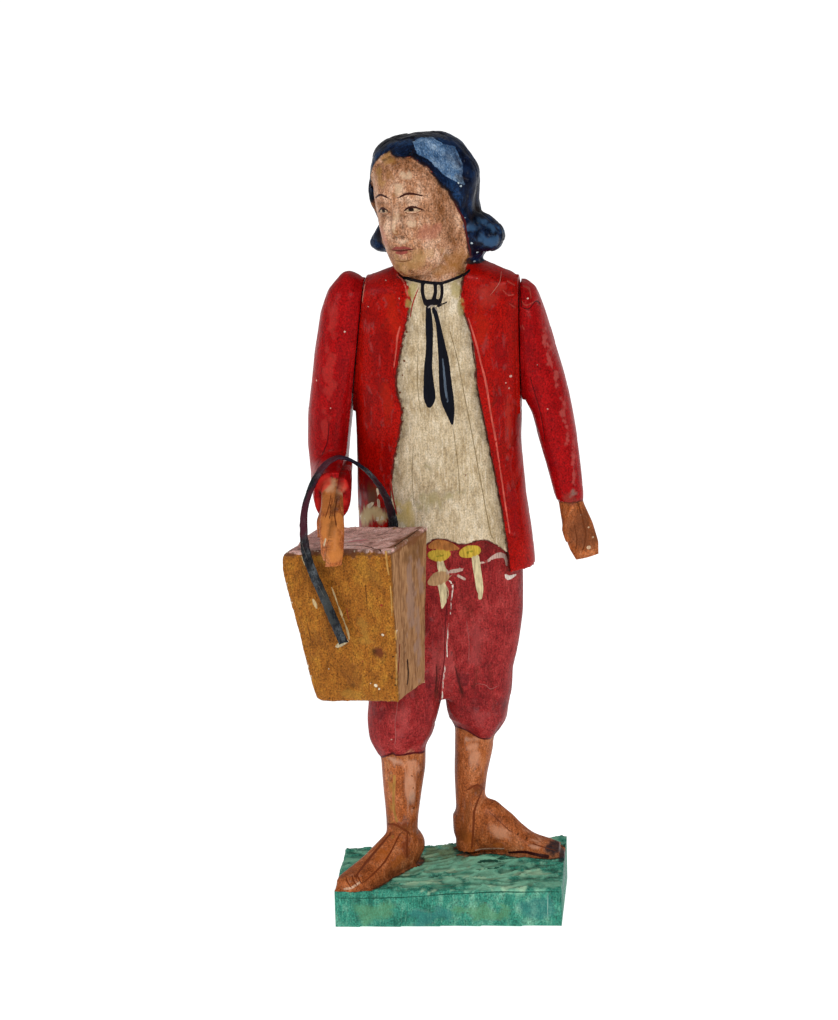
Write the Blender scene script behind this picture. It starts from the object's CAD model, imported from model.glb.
"""The looks of a carved and painted wooden nativity figure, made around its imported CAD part.

The solids fix every place and size. Each visible piece starts as a copy of its solid, gets an even
skin of small faces, is carved by moving that skin, and is painted by values kept on its vertices:
how far each point lies inside a colour, a brush mark or a crack. Lengths in this file are
millimetres in the frame of the CAD part unless a name says otherwise.
"""

import itertools
import logging
import math
from dataclasses import dataclass
from enum import Enum
from typing import ClassVar, Sequence

import bpy
import numpy as np
from mathutils import Matrix, Vector


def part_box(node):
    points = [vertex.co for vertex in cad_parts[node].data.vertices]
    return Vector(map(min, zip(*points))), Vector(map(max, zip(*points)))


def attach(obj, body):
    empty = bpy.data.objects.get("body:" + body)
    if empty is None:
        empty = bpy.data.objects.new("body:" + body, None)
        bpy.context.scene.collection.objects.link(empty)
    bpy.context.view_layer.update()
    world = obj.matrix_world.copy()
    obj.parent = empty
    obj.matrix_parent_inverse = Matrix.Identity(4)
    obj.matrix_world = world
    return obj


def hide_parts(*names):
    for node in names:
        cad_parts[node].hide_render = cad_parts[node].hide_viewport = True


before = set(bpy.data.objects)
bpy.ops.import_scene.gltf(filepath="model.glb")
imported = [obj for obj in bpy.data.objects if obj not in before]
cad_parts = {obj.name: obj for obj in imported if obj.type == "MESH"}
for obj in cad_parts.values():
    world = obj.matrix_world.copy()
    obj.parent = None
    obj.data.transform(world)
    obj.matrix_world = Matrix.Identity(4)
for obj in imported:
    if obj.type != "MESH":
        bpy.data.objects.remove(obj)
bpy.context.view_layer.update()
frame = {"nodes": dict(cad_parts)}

LOG = logging.getLogger("nativity_figure")
MM = 0.001
BOX_MARGIN = 0.01

Array = np.ndarray
Rows = Sequence[Sequence[float]]


def fade(start: float, end: float, value: Array) -> Array:
    """The share of the way that each value has gone from start, 0, to end, 1, with both ends eased."""
    share = np.clip((value - start) / (end - start), 0.0, 1.0)
    return share * share * (3.0 - 2.0 * share)


def bell(*offsets: Array) -> Array:
    """A soft hump of height 1 from offsets that are already divided by their reach."""
    return np.exp(-sum(offset * offset for offset in offsets))


def linear(colour: str) -> tuple[float, float, float, float]:
    """Turns a colour as seen on a screen into the values that a shader works with.

    Args:
        colour: The colour as a hex code.

    Returns:
        Its linear red, green, blue and alpha.
    """
    shares = [int(colour[i : i + 2], 16) / 255 for i in (1, 3, 5)]
    values = [s / 12.92 if s <= 0.04045 else ((s + 0.055) / 1.055) ** 2.4 for s in shares]
    return (*values, 1.0)


def curve_through(points: Rows, steps: int = 4) -> Array:
    """A smooth curve through points, as the CAD part draws its outlines.

    Args:
        points: The points it passes through, with any number of columns.
        steps: How many short chords run between two points.

    Returns:
        The points of the curve.
    """
    given = np.asarray(points, dtype=float)
    padded = np.vstack([given[0], given, given[-1]])
    share = np.linspace(0.0, 1.0, steps, endpoint=False)[:, None]
    chords = []
    for a, b, c, d in zip(padded, padded[1:], padded[2:], padded[3:]):
        bend = (2 * a - 5 * b + 4 * c - d) * share**2 + (3 * b - a - 3 * c + d) * share**3
        chords.append(0.5 * (2 * b + (c - a) * share + bend))
    return np.vstack([*chords, given[-1:]])


@dataclass(frozen=True)
class Noise:
    """Noise over points from a seed, the same on every run."""

    seed: int

    def _value(self, cell: Array, channel: int = 0) -> Array:
        """A number from 0 to 1 for each whole-numbered cell of space."""
        mixed = cell[:, 0] * 73856093 ^ cell[:, 1] * 19349663 ^ cell[:, 2] * 83492791
        mixed = (mixed ^ (self.seed * 2654435 + channel * 40503)) & 0x7FFFFFFF
        mixed = ((mixed ^ (mixed >> 13)) * 1274126177) & 0x7FFFFFFF
        mixed = ((mixed ^ (mixed >> 11)) * 668265263) & 0x7FFFFFFF
        return ((mixed ^ (mixed >> 15)) & 0xFFFFF) / float(0xFFFFF)

    def soft(self, points: Array, reach: float | Sequence[float]) -> Array:
        """Smooth noise from -1 to 1.

        Args:
            points: The points to look up.
            reach: The size of its features, the same every way or along x, y and z.

        Returns:
            One value for each point.
        """
        place = points / np.asarray(reach, dtype=float)
        low = np.floor(place).astype(np.int64)
        share = place - low
        share = share * share * (3 - 2 * share)
        total = np.zeros(len(points))
        for corner in itertools.product((0, 1), repeat=3):
            weight = np.prod(np.where(corner, share, 1 - share), axis=1)
            total += weight * self._value(low + np.array(corner))
        return total * 2 - 1

    def rough(self, points: Array, reach: float | Sequence[float], layers: int = 3) -> Array:
        """Soft noise in several layers, each half the size and half as strong as the one before."""
        size = np.asarray(reach, dtype=float)
        return sum(self.soft(points, size / 2**i) / 2**i for i in range(layers)) / 1.6

    def facets(self, points: Array, reach: float | Sequence[float]) -> tuple[Array, Array]:
        """Flat cells, as a knife leaves them.

        Args:
            points: The points to look up.
            reach: The size of a cell, the same every way or along x, y and z.

        Returns:
            The height of each point's flat cell, about -1 to 1, and how near its edge is from 0 to 1.
        """
        place = points / np.asarray(reach, dtype=float)
        low = np.floor(place).astype(np.int64)
        nearest = np.full(len(points), np.inf)
        second = np.full(len(points), np.inf)
        height = np.zeros(len(points))
        for corner in itertools.product((-1, 0, 1), repeat=3):
            cell = low + np.array(corner)
            centre = cell + np.stack([self._value(cell, c) for c in (1, 2, 3)], axis=1)
            gap = place - centre
            distance = (gap * gap).sum(axis=1)
            tilt = np.stack([self._value(cell, c) for c in (4, 5, 6)], axis=1) - 0.5
            closer = distance < nearest
            second = np.where(closer, nearest, np.minimum(second, distance))
            height = np.where(closer, 2 * (gap * tilt).sum(axis=1), height)
            nearest = np.where(closer, distance, nearest)
        edge = 1 - np.clip((np.sqrt(second) - np.sqrt(nearest)) * 4, 0, 1)
        return height, edge


def distance_to(points: Array, route: Array) -> tuple[Array, Array, Array]:
    """How far points of a plane are from a route.

    Args:
        points: Points with two columns.
        route: The route's points, whose third column, if any, is a half width.

    Returns:
        The distance less the half width, the distance with a sign for the side, and the half width.
    """
    best = np.full(len(points), np.inf)
    signed = np.full(len(points), np.inf)
    half = np.full(len(points), 0.1)
    for a, b in zip(route, route[1:]):
        run = b[:2] - a[:2]
        share = np.clip(((points - a[:2]) @ run) / max(run @ run, 1e-9), 0, 1)
        gap = points - a[:2] - share[:, None] * run
        distance = np.hypot(gap[:, 0], gap[:, 1])
        wide = a[2] + (b[2] - a[2]) * share if len(a) > 2 else 0.0 * share
        closer = distance - wide < best
        side = np.where(run[0] * gap[:, 1] < run[1] * gap[:, 0], -1.0, 1.0)
        best = np.where(closer, distance - wide, best)
        signed = np.where(closer, distance * side, signed)
        half = np.where(closer, wide, half)
    return best, signed, half


def inside_outline(points: Array, outline: Array) -> Array:
    """How far points of a plane lie inside a closed outline.

    Args:
        points: Points with two columns.
        outline: The outline's corners in order.

    Returns:
        The distance from the outline, negative outside it.
    """
    closed = np.vstack([outline, outline[:1]])
    distance = distance_to(points, closed)[0]
    odd = np.zeros(len(points), dtype=bool)
    for (x0, y0), (x1, y1) in zip(closed[:, :2], closed[1:, :2]):
        if y0 == y1:
            continue
        crosses = (y0 > points[:, 1]) != (y1 > points[:, 1])
        at = (x1 - x0) * (points[:, 1] - y0) / (y1 - y0) + x0
        odd ^= crosses & (points[:, 0] < at)
    return np.where(odd, distance, -distance)


class Seen(Enum):
    """The side that a mark is painted on: its two axes, the one across them, and the way it faces."""

    FRONT = (0, 2, 1, -1)
    TOP = (0, 1, 2, 1)


@dataclass(frozen=True)
class Mark:
    """A brush mark, drawn as a route with a width at each of its points.

    Attributes:
        colour: Its paint.
        route: Rows of two places and a width.
        seen: The side that it is painted on.
        beyond: The lowest and highest place it reaches across the two axes.
        relief: How far it stands proud, negative for a groove.
        frame: The placed form it is drawn on, none for the whole part's own frame.
    """

    colour: str
    route: Rows
    seen: Seen = Seen.FRONT
    beyond: tuple[float, float] = (-100.0, 100.0)
    relief: float = 0.0
    frame: "Placement | None" = None

    def spread(self, points: Array, normals: Array) -> tuple[Array, Array, Array]:
        """Where points lie in the mark.

        Args:
            points: The points.
            normals: The direction in which the surface faces at each.

        Returns:
            How far they lie inside the mark, how far off its middle line, and half its width there.
        """
        across, up, depth, way = self.seen.value
        if self.frame:
            points, normals = self.frame.local(points), normals @ self.frame.matrix()
        route = curve_through(self.route, 3) if len(self.route) > 2 else np.asarray(self.route, float)
        route = route * np.array([1.0, 1.0, 0.5])
        inside = np.full(len(points), -9.0)
        offset = np.full(len(points), 9.0)
        half = np.full(len(points), 0.1)
        flat = points[:, [across, up]]
        low = (route[:, :2] - route[:, 2:]).min(axis=0) - 2.5
        high = (route[:, :2] + route[:, 2:]).max(axis=0) + 2.5
        near = ((flat > low) & (flat < high)).all(axis=1)
        near &= normals[:, depth] * way > 0.18
        near &= (points[:, depth] > self.beyond[0]) & (points[:, depth] < self.beyond[1])
        if near.any():
            gap, signed, wide = distance_to(flat[near], route)
            inside[near], offset[near], half[near] = -gap, signed, wide
        return inside, offset, half


def strokes(colour: str, *routes: Rows, **settings) -> tuple[Mark, ...]:
    """Marks of one colour, each along its own route."""
    return tuple(Mark(colour, route, **settings) for route in routes)


def dots(colour: str, *spots: Sequence[float], **settings) -> tuple[Mark, ...]:
    """Round marks of one colour, each with its two places and its width."""
    return strokes(colour, *(((x, up, wide), (x + 0.05, up, wide)) for x, up, wide in spots), **settings)


def both_sides(*routes: Rows) -> tuple[Rows, ...]:
    """Each route, followed by its mirror image in the first axis."""
    return tuple(side for route in routes for side in (route, tuple((-x, *rest) for x, *rest in route)))


@dataclass(frozen=True)
class Stain:
    """A soft patch of another colour.

    Attributes:
        colour: Its colour.
        centre: Its middle.
        reach: How far it goes along x, y and z.
        strength: How much it covers at its middle, from 0 to 1.
        ragged: How much noise breaks up its edge.
        frame: The placed form it lies on, none for the whole part's own frame.
        area: The area of paint that it keeps to, none for all.
    """

    colour: str
    centre: tuple[float, float, float]
    reach: tuple[float, float, float]
    strength: float = 0.7
    ragged: float = 0.6
    frame: "Placement | None" = None
    area: str = ""

    def cover(self, points: Array, noise: Noise) -> Array:
        """How much of each point the stain covers.

        Args:
            points: The points.
            noise: What breaks its edge up.

        Returns:
            The share of each point's colour that it takes.
        """
        if self.frame:
            points = self.frame.local(points)
        place = (points - np.array(self.centre)) / np.array(self.reach)
        body = 1.15 - np.sqrt((place * place).sum(axis=1))
        near = body > -1.2
        wobble = np.zeros(len(points))
        wobble[near] = noise.rough(points[near], min(self.reach) * 0.9 + 0.3)
        return self.strength * fade(0.0, 0.55, body + self.ragged * wobble) * near


def patches(
    colour: str, *spots: Sequence[float], y: float = -5.0, deep: float = 6.0, **settings
) -> tuple[Stain, ...]:
    """Stains of one colour as seen from the front, each with its x, z and reach, or a reach along each."""
    return tuple(Stain(colour, (x, y, z), (r[0], deep, r[-1]), **settings) for x, z, *r in spots)


class Skin:
    """The points of a mesh in millimetres, with what the carving and the painting need to know."""

    def __init__(self, piece: bpy.types.Object) -> None:
        """Reads a mesh.

        Args:
            piece: The mesh object, in place.
        """
        self.piece = piece
        mesh = piece.data
        flat = np.empty(len(mesh.vertices) * 3)
        mesh.vertices.foreach_get("co", flat)
        self.points = flat.reshape(-1, 3) / MM
        edges = np.empty(len(mesh.edges) * 2, dtype=np.int64)
        mesh.edges.foreach_get("vertices", edges)
        self.edges = edges.reshape(-1, 2)
        self.degree = np.bincount(edges, minlength=len(self.points)).astype(float)

    def normals(self) -> Array:
        """The outward direction at each point."""
        self.write()
        flat = np.empty(len(self.points) * 3)
        self.piece.data.vertices.foreach_get("normal", flat)
        return flat.reshape(-1, 3)

    def write(self) -> None:
        """Puts the points back into the mesh."""
        mesh = self.piece.data
        mesh.vertices.foreach_set("co", (self.points * MM).ravel())
        mesh.update()

    def blur(self, values: Array) -> Array:
        """Evens values out over the skin.

        Args:
            values: A number, or a row of numbers, for each point.

        Returns:
            The mean of each point's neighbours.
        """
        a, b = self.edges.T
        columns = values[:, None] if values.ndim == 1 else values
        count = len(self.points)
        means = [
            (np.bincount(a, column[b], count) + np.bincount(b, column[a], count)) / self.degree
            for column in columns.T
        ]
        return means[0] if values.ndim == 1 else np.stack(means, axis=1)

    def smooth(self, rounds: int, share: Array) -> None:
        """Evens the skin out.

        Args:
            rounds: How many times.
            share: How strongly, from 0 to 1, at each point.
        """
        keep = 0.5 * share[:, None]
        for _ in range(rounds):
            self.points = self.points + keep * (self.blur(self.points) - self.points)

    def relax(self, rounds: int) -> None:
        """Smooths the skin so many times without shrinking it."""
        for step in (0.5, -0.52) * rounds:
            self.points = self.points + step * (self.blur(self.points) - self.points)

    def move(self, height: Array) -> None:
        """Moves each point so many millimetres out along its normal."""
        self.points = self.points + self.normals() * height[:, None]

    def bend(self, spread: int) -> Array:
        """How hollow the skin is.

        Args:
            spread: How many points to each side it is judged from.

        Returns:
            The depth of each point in millimetres, negative on an edge.
        """
        normals = self.normals()
        around = self.points
        for _ in range(spread):
            around = self.blur(around)
        return ((around - self.points) * normals).sum(axis=1)

    def store(self, name: str, values: Array) -> None:
        """Keeps values on the mesh for the shaders to read.

        Args:
            name: The name that they are read by.
            values: One number, or a colour with its alpha, for each point.
        """
        mesh = self.piece.data
        if values.ndim == 1:
            layer = mesh.attributes.new(name, "FLOAT", "POINT")
            layer.data.foreach_set("value", values.astype(np.float32))
            return
        layer = mesh.attributes.new(name, "FLOAT_COLOR", "POINT")
        layer.data.foreach_set("color", values.astype(np.float32).ravel())


# Shared shader work


Socket = bpy.types.NodeSocket
Value = Socket | float


@dataclass(frozen=True)
class Net:
    """Adds nodes to one node tree, a material's or a group's, and joins them."""

    tree: bpy.types.NodeTree

    def node(self, kind: str, inputs: dict | None = None, **settings) -> bpy.types.Node:
        """Adds a node.

        Args:
            kind: The node's type name without its ShaderNode prefix.
            inputs: Values or sockets for its inputs, by name or number.
            **settings: Properties to set on it.

        Returns:
            The new node.
        """
        made = self.tree.nodes.new("ShaderNode" + kind)
        for name, value in settings.items():
            setattr(made, name, value)
        for key, value in (inputs or {}).items():
            self.feed(made.inputs[key], value)
        return made

    def feed(self, target: Socket, value: Value | Sequence[float]) -> None:
        """Joins a socket to an input, or sets the input to a plain value."""
        if isinstance(value, bpy.types.NodeSocket):
            self.tree.links.new(value, target)
        else:
            target.default_value = value

    def math(self, operation: str, a: Value, b: Value = 0.0, clamp: bool = False) -> Socket:
        """The result of an operation on two numbers."""
        return self.node("Math", {0: a, 1: b}, operation=operation, use_clamp=clamp).outputs[0]

    def sweep(self, value: Value, low: Value, high: Value) -> Socket:
        """Goes smoothly from 0 to 1 as a value goes from low to high."""
        inputs = {"Value": value, "From Min": low, "From Max": high}
        return self.node("MapRange", inputs, interpolation_type="SMOOTHSTEP").outputs[0]

    def blend(self, share: Value, a: Value, b: Value, how: str = "MIX") -> Socket:
        """Mixes two colours.

        Args:
            share: How much of the second colour is taken.
            a: The first colour.
            b: The second colour.
            how: The way that the second one is laid on.

        Returns:
            The mixed colour.
        """
        made = self.node("Mix", data_type="RGBA", blend_type=how, clamp_factor=True)
        for number, value in ((0, share), (6, a), (7, b)):
            self.feed(made.inputs[number], value)
        return made.outputs[2]

    def between(self, share: Value, a: Value, b: Value) -> Socket:
        """A number between two numbers."""
        made = self.node("Mix", data_type="FLOAT", clamp_factor=True)
        for number, value in ((0, share), (2, a), (3, b)):
            self.feed(made.inputs[number], value)
        return made.outputs[0]

    def times(self, a: Value, b: Value) -> Socket:
        """The product of two numbers."""
        return self.math("MULTIPLY", a, b)

    def plus(self, a: Value, b: Value) -> Socket:
        """The sum of two numbers."""
        return self.math("ADD", a, b)

    def noise(self, place: Socket, per_mm: Sequence[float], detail: float, shift: float = 0.0) -> Socket:
        """Noise from 0 to 1.

        Args:
            place: Where to look it up, in millimetres.
            per_mm: How many features it has to the millimetre along x, y and z.
            detail: How many layers of finer noise lie on it.
            shift: Any number, for another draw of it.

        Returns:
            The noise.
        """
        moved = {0: place, 1: per_mm, 2: (shift, shift * 0.7, -shift)}
        spot = self.node("VectorMath", moved, operation="MULTIPLY_ADD").outputs[0]
        inputs = {"Vector": spot, "Scale": 1.0, "Detail": detail, "Roughness": 0.6}
        return self.node("TexNoise", inputs).outputs[0]

    def attribute(self, name: str) -> bpy.types.Node:
        """Reads what a mesh keeps on its points."""
        return self.node("Attribute", attribute_name=name, attribute_type="GEOMETRY")


class GroupKit:
    """The shader groups that several materials share, each built once."""

    _made: dict[str, bpy.types.NodeTree] = {}

    @classmethod
    def place(cls, net: Net, name: str, inputs: dict[str, Value | Sequence[float]]) -> bpy.types.Node:
        """Puts a shared group in a material.

        Args:
            net: The material's net.
            name: The group's name, which is also its builder's.
            inputs: Its values or sockets by name.

        Returns:
            The group's node.
        """
        if name not in cls._made:
            cls._made[name] = getattr(cls, "_" + name)()
        return net.node("Group", inputs, node_tree=cls._made[name])

    @staticmethod
    def _open(name: str, takes: str, gives: str) -> tuple[Net, dict[str, Socket], bpy.types.Node]:
        """Starts a group.

        Args:
            name: Its name.
            takes: Its inputs, such as "Base:Color Scale:Float".
            gives: Its outputs, in the same form.

        Returns:
            The net, the inputs by name, and the node that takes the outputs.
        """
        tree = bpy.data.node_groups.new(name, "ShaderNodeTree")
        for words, way in ((takes, "INPUT"), (gives, "OUTPUT")):
            for word in words.split():
                label, kind = word.split(":")
                tree.interface.new_socket(label, in_out=way, socket_type="NodeSocket" + kind)
        net = Net(tree)
        start = tree.nodes.new("NodeGroupInput")
        end = tree.nodes.new("NodeGroupOutput")
        return net, {socket.name: socket for socket in start.outputs if socket.name}, end

    @classmethod
    def _brushed_paint(cls) -> bpy.types.NodeTree:
        """Paint laid on with a small brush: patches, streaks along the brush, grain and specks."""
        colours = "Place:Vector Base:Color Dark:Color Light:Color"
        shares = " Patches:Float Streaks:Float Specks:Float Grain:Float"
        gives = "Color:Color Gloss:Float Height:Float"
        net, given, end = cls._open("brushed_paint", colours + shares, gives)
        place = given["Place"]
        wide = net.noise(place, (0.17, 0.17, 0.1), 4.0)
        middle = net.noise(place, (0.6, 0.6, 0.34), 4.0, 11.0)
        streak = net.noise(place, (3.2, 3.2, 0.45), 3.0, 5.0)
        fine = net.noise(place, (3.6, 3.6, 3.0), 3.0, 41.0)
        speck = net.noise(place, (3.1, 3.1, 3.1), 2.0, 23.0)
        patch = net.plus(net.times(wide, 0.5), net.times(middle, 0.5))
        low = net.times(net.sweep(patch, 0.53, 0.36), given["Patches"])
        high = net.times(net.sweep(patch, 0.49, 0.66), given["Patches"])
        colour = net.blend(low, given["Base"], given["Dark"])
        colour = net.blend(high, colour, given["Light"])
        line = net.times(net.sweep(streak, 0.5, 0.72), given["Streaks"])
        colour = net.blend(line, colour, given["Light"])
        gap = net.times(net.sweep(streak, 0.5, 0.3), given["Streaks"])
        colour = net.blend(gap, colour, given["Dark"])
        dots = net.times(net.sweep(speck, 0.62, 0.74), given["Specks"])
        colour = net.blend(dots, colour, given["Dark"])
        both = net.plus(net.times(fine, 0.65), net.times(speck, 0.35))
        swing = net.times(net.math("SUBTRACT", both, 0.5), given["Grain"])
        shade = net.plus(swing, 1.0)
        colour = net.node("VectorMath", {0: colour, 3: shade}, operation="SCALE").outputs[0]
        colour = net.node("VectorMath", {0: colour, 1: (0.0, 0.0, 0.0)}, operation="MAXIMUM").outputs[0]
        net.feed(end.inputs["Color"], colour)
        net.feed(end.inputs["Gloss"], net.math("SUBTRACT", middle, net.times(speck, 0.5)))
        relief = net.plus(net.times(streak, 0.5), net.times(fine, 0.7))
        net.feed(end.inputs["Height"], net.plus(relief, middle))
        return net.tree

    @classmethod
    def _paint_edge(cls) -> bpy.types.NodeTree:
        """Where a colour ends, a little unsteady as a hand leaves it."""
        takes = "Inside:Float Place:Vector Wobble:Float Soft:Float"
        net, given, end = cls._open("paint_edge", takes, "Cover:Float Rim:Float")
        shake = net.noise(given["Place"], (1.1, 1.1, 1.1), 3.0, 3.0)
        moved = net.times(net.math("SUBTRACT", shake, 0.5), given["Wobble"])
        inside = net.plus(given["Inside"], moved)
        below = net.times(given["Soft"], -1.0)
        net.feed(end.inputs["Cover"], net.sweep(inside, below, given["Soft"]))
        near = net.math("ABSOLUTE", inside)
        broken = net.sweep(net.noise(given["Place"], (0.8, 0.8, 0.8), 3.0, 57.0), 0.3, 0.55)
        net.feed(end.inputs["Rim"], net.times(net.sweep(near, 0.36, 0.1), broken))
        return net.tree

    @classmethod
    def _worn_edge(cls) -> bpy.types.NodeTree:
        """Where edges and knocks have lost their paint."""
        net, given, end = cls._open("worn_edge", "Edge:Float Place:Vector Amount:Float", "Worn:Float")
        break_up = net.noise(given["Place"], (1.6, 1.6, 1.2), 4.0, 31.0)
        chips = net.noise(given["Place"], (0.45, 0.45, 0.45), 2.0, 47.0)
        both = net.plus(net.times(break_up, 0.7), net.times(chips, 0.5))
        sum_up = net.plus(net.times(given["Edge"], given["Amount"]), both)
        net.feed(end.inputs["Worn"], net.sweep(sum_up, 1.0, 1.12))
        return net.tree

    @classmethod
    def _old_dirt(cls) -> bpy.types.NodeTree:
        """Dirt that stays in hollows, with fine dark specks over all."""
        net, given, end = cls._open("old_dirt", "Hollow:Float Place:Vector Amount:Float", "Dirt:Float")
        cloud = net.noise(given["Place"], (0.8, 0.8, 0.8), 4.0, 61.0)
        deep = net.times(given["Hollow"], net.plus(cloud, 0.45))
        speck = net.noise(given["Place"], (3.1, 3.1, 3.1), 2.0, 71.0)
        spots = net.times(net.sweep(speck, 0.68, 0.76), 0.45)
        total = net.plus(deep, net.times(spots, cloud))
        net.feed(end.inputs["Dirt"], net.math("MULTIPLY", total, given["Amount"], clamp=True))
        return net.tree

    @classmethod
    def _wood_grain(cls) -> bpy.types.NodeTree:
        """Bare wood with its grain along z."""
        takes, gives = "Place:Vector Pale:Color Deep:Color", "Color:Color Height:Float"
        net, given, end = cls._open("wood_grain", takes, gives)
        along = net.noise(given["Place"], (3.0, 3.0, 0.34), 5.0, 13.0)
        cloud = net.noise(given["Place"], (0.5, 0.5, 0.2), 4.0, 5.0)
        grain = net.plus(net.times(along, 0.7), net.times(cloud, 0.3))
        net.feed(end.inputs["Color"], net.blend(net.sweep(grain, 0.62, 0.34), given["Pale"], given["Deep"]))
        net.feed(end.inputs["Height"], grain)
        return net.tree


@dataclass(frozen=True)
class Paint:
    """One colour of paint as it has aged.

    Attributes:
        base: Its main colour.
        dark: Where it is thick or dirty.
        light: Where it is thin or rubbed.
        rough: How dull it is.
        patches: How strongly large patches differ.
        streaks: How strongly brush streaks show.
        specks: How many dark specks show.
        grain: How much its fine grain changes its brightness.
        relief: The height of its brush marks in millimetres.
    """

    base: str
    dark: str
    light: str
    rough: float = 0.4
    patches: float = 0.8
    streaks: float = 0.35
    specks: float = 0.3
    grain: float = 1.3
    relief: float = 0.05


@dataclass(frozen=True)
class PaintArea:
    """A paint, and the value on the points that says where it lies.

    Attributes:
        paint: The paint.
        inside: The name of the value, none for the paint under all others.
        wobble: How unsteady its edge is, in millimetres.
        rim: The colour of the dirt along its edge, none for a clean edge.
        rimmed: How much the dirt covers.
    """

    paint: Paint
    inside: str = ""
    wobble: float = 0.35
    rim: str = ""
    rimmed: float = 0.8


class Coatings:
    """The paints of the figure, from the whole photograph's colours."""

    COAT = Paint("#960903", "#6a0202", "#a8150b", 0.4, 0.45, 0.25, 0.7, 4.0, 0.028)
    SLEEVE = Paint("#94080b", "#6a0305", "#a81616", 0.38, 0.45, 0.25, 0.7, 3.8, 0.03)
    SHIRT = Paint("#c6b394", "#927a54", "#e0d4be", 0.46, 0.6, 0.45, 0.9, 2.4)
    BREECHES = Paint("#8a2323", "#560d12", "#a8423f", 0.52, 0.6, 0.4, 0.9, 3.8)
    FACE = Paint("#aa795a", "#784a2a", "#d4ae92", 0.42, 1.0, 0.25, 1.0, 4.4)
    LIMB = Paint("#9e552b", "#652e10", "#c28058", 0.45, 0.75, 0.3, 0.8, 3.8)
    HAIR = Paint("#05142e", "#020309", "#1c3a60", 0.34, 1.0, 0.35, 0.4, 4.0)
    FACET = Paint("#527296", "#284668", "#98aec4", 0.3, 1.0, 0.6, 0.5, 3.4)
    GROUND = Paint("#34806c", "#1a5648", "#78ac92", 0.52, 0.8, 0.3, 0.6, 3.6, 0.08)
    PAIL = Paint("#90571c", "#5e340e", "#ac7a2c", 0.45, 0.6, 0.3, 1.0, 4.2)
    PAIL_TOP = Paint("#dcaca0", "#8a665c", "#f0d4cc", 0.55, 0.9, 0.5, 0.6, 2.6)
    STRAP = Paint("#1a1c20", "#060609", "#5c6266", 0.55, 0.55, 0.3, 1.0, 5.0)


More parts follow.
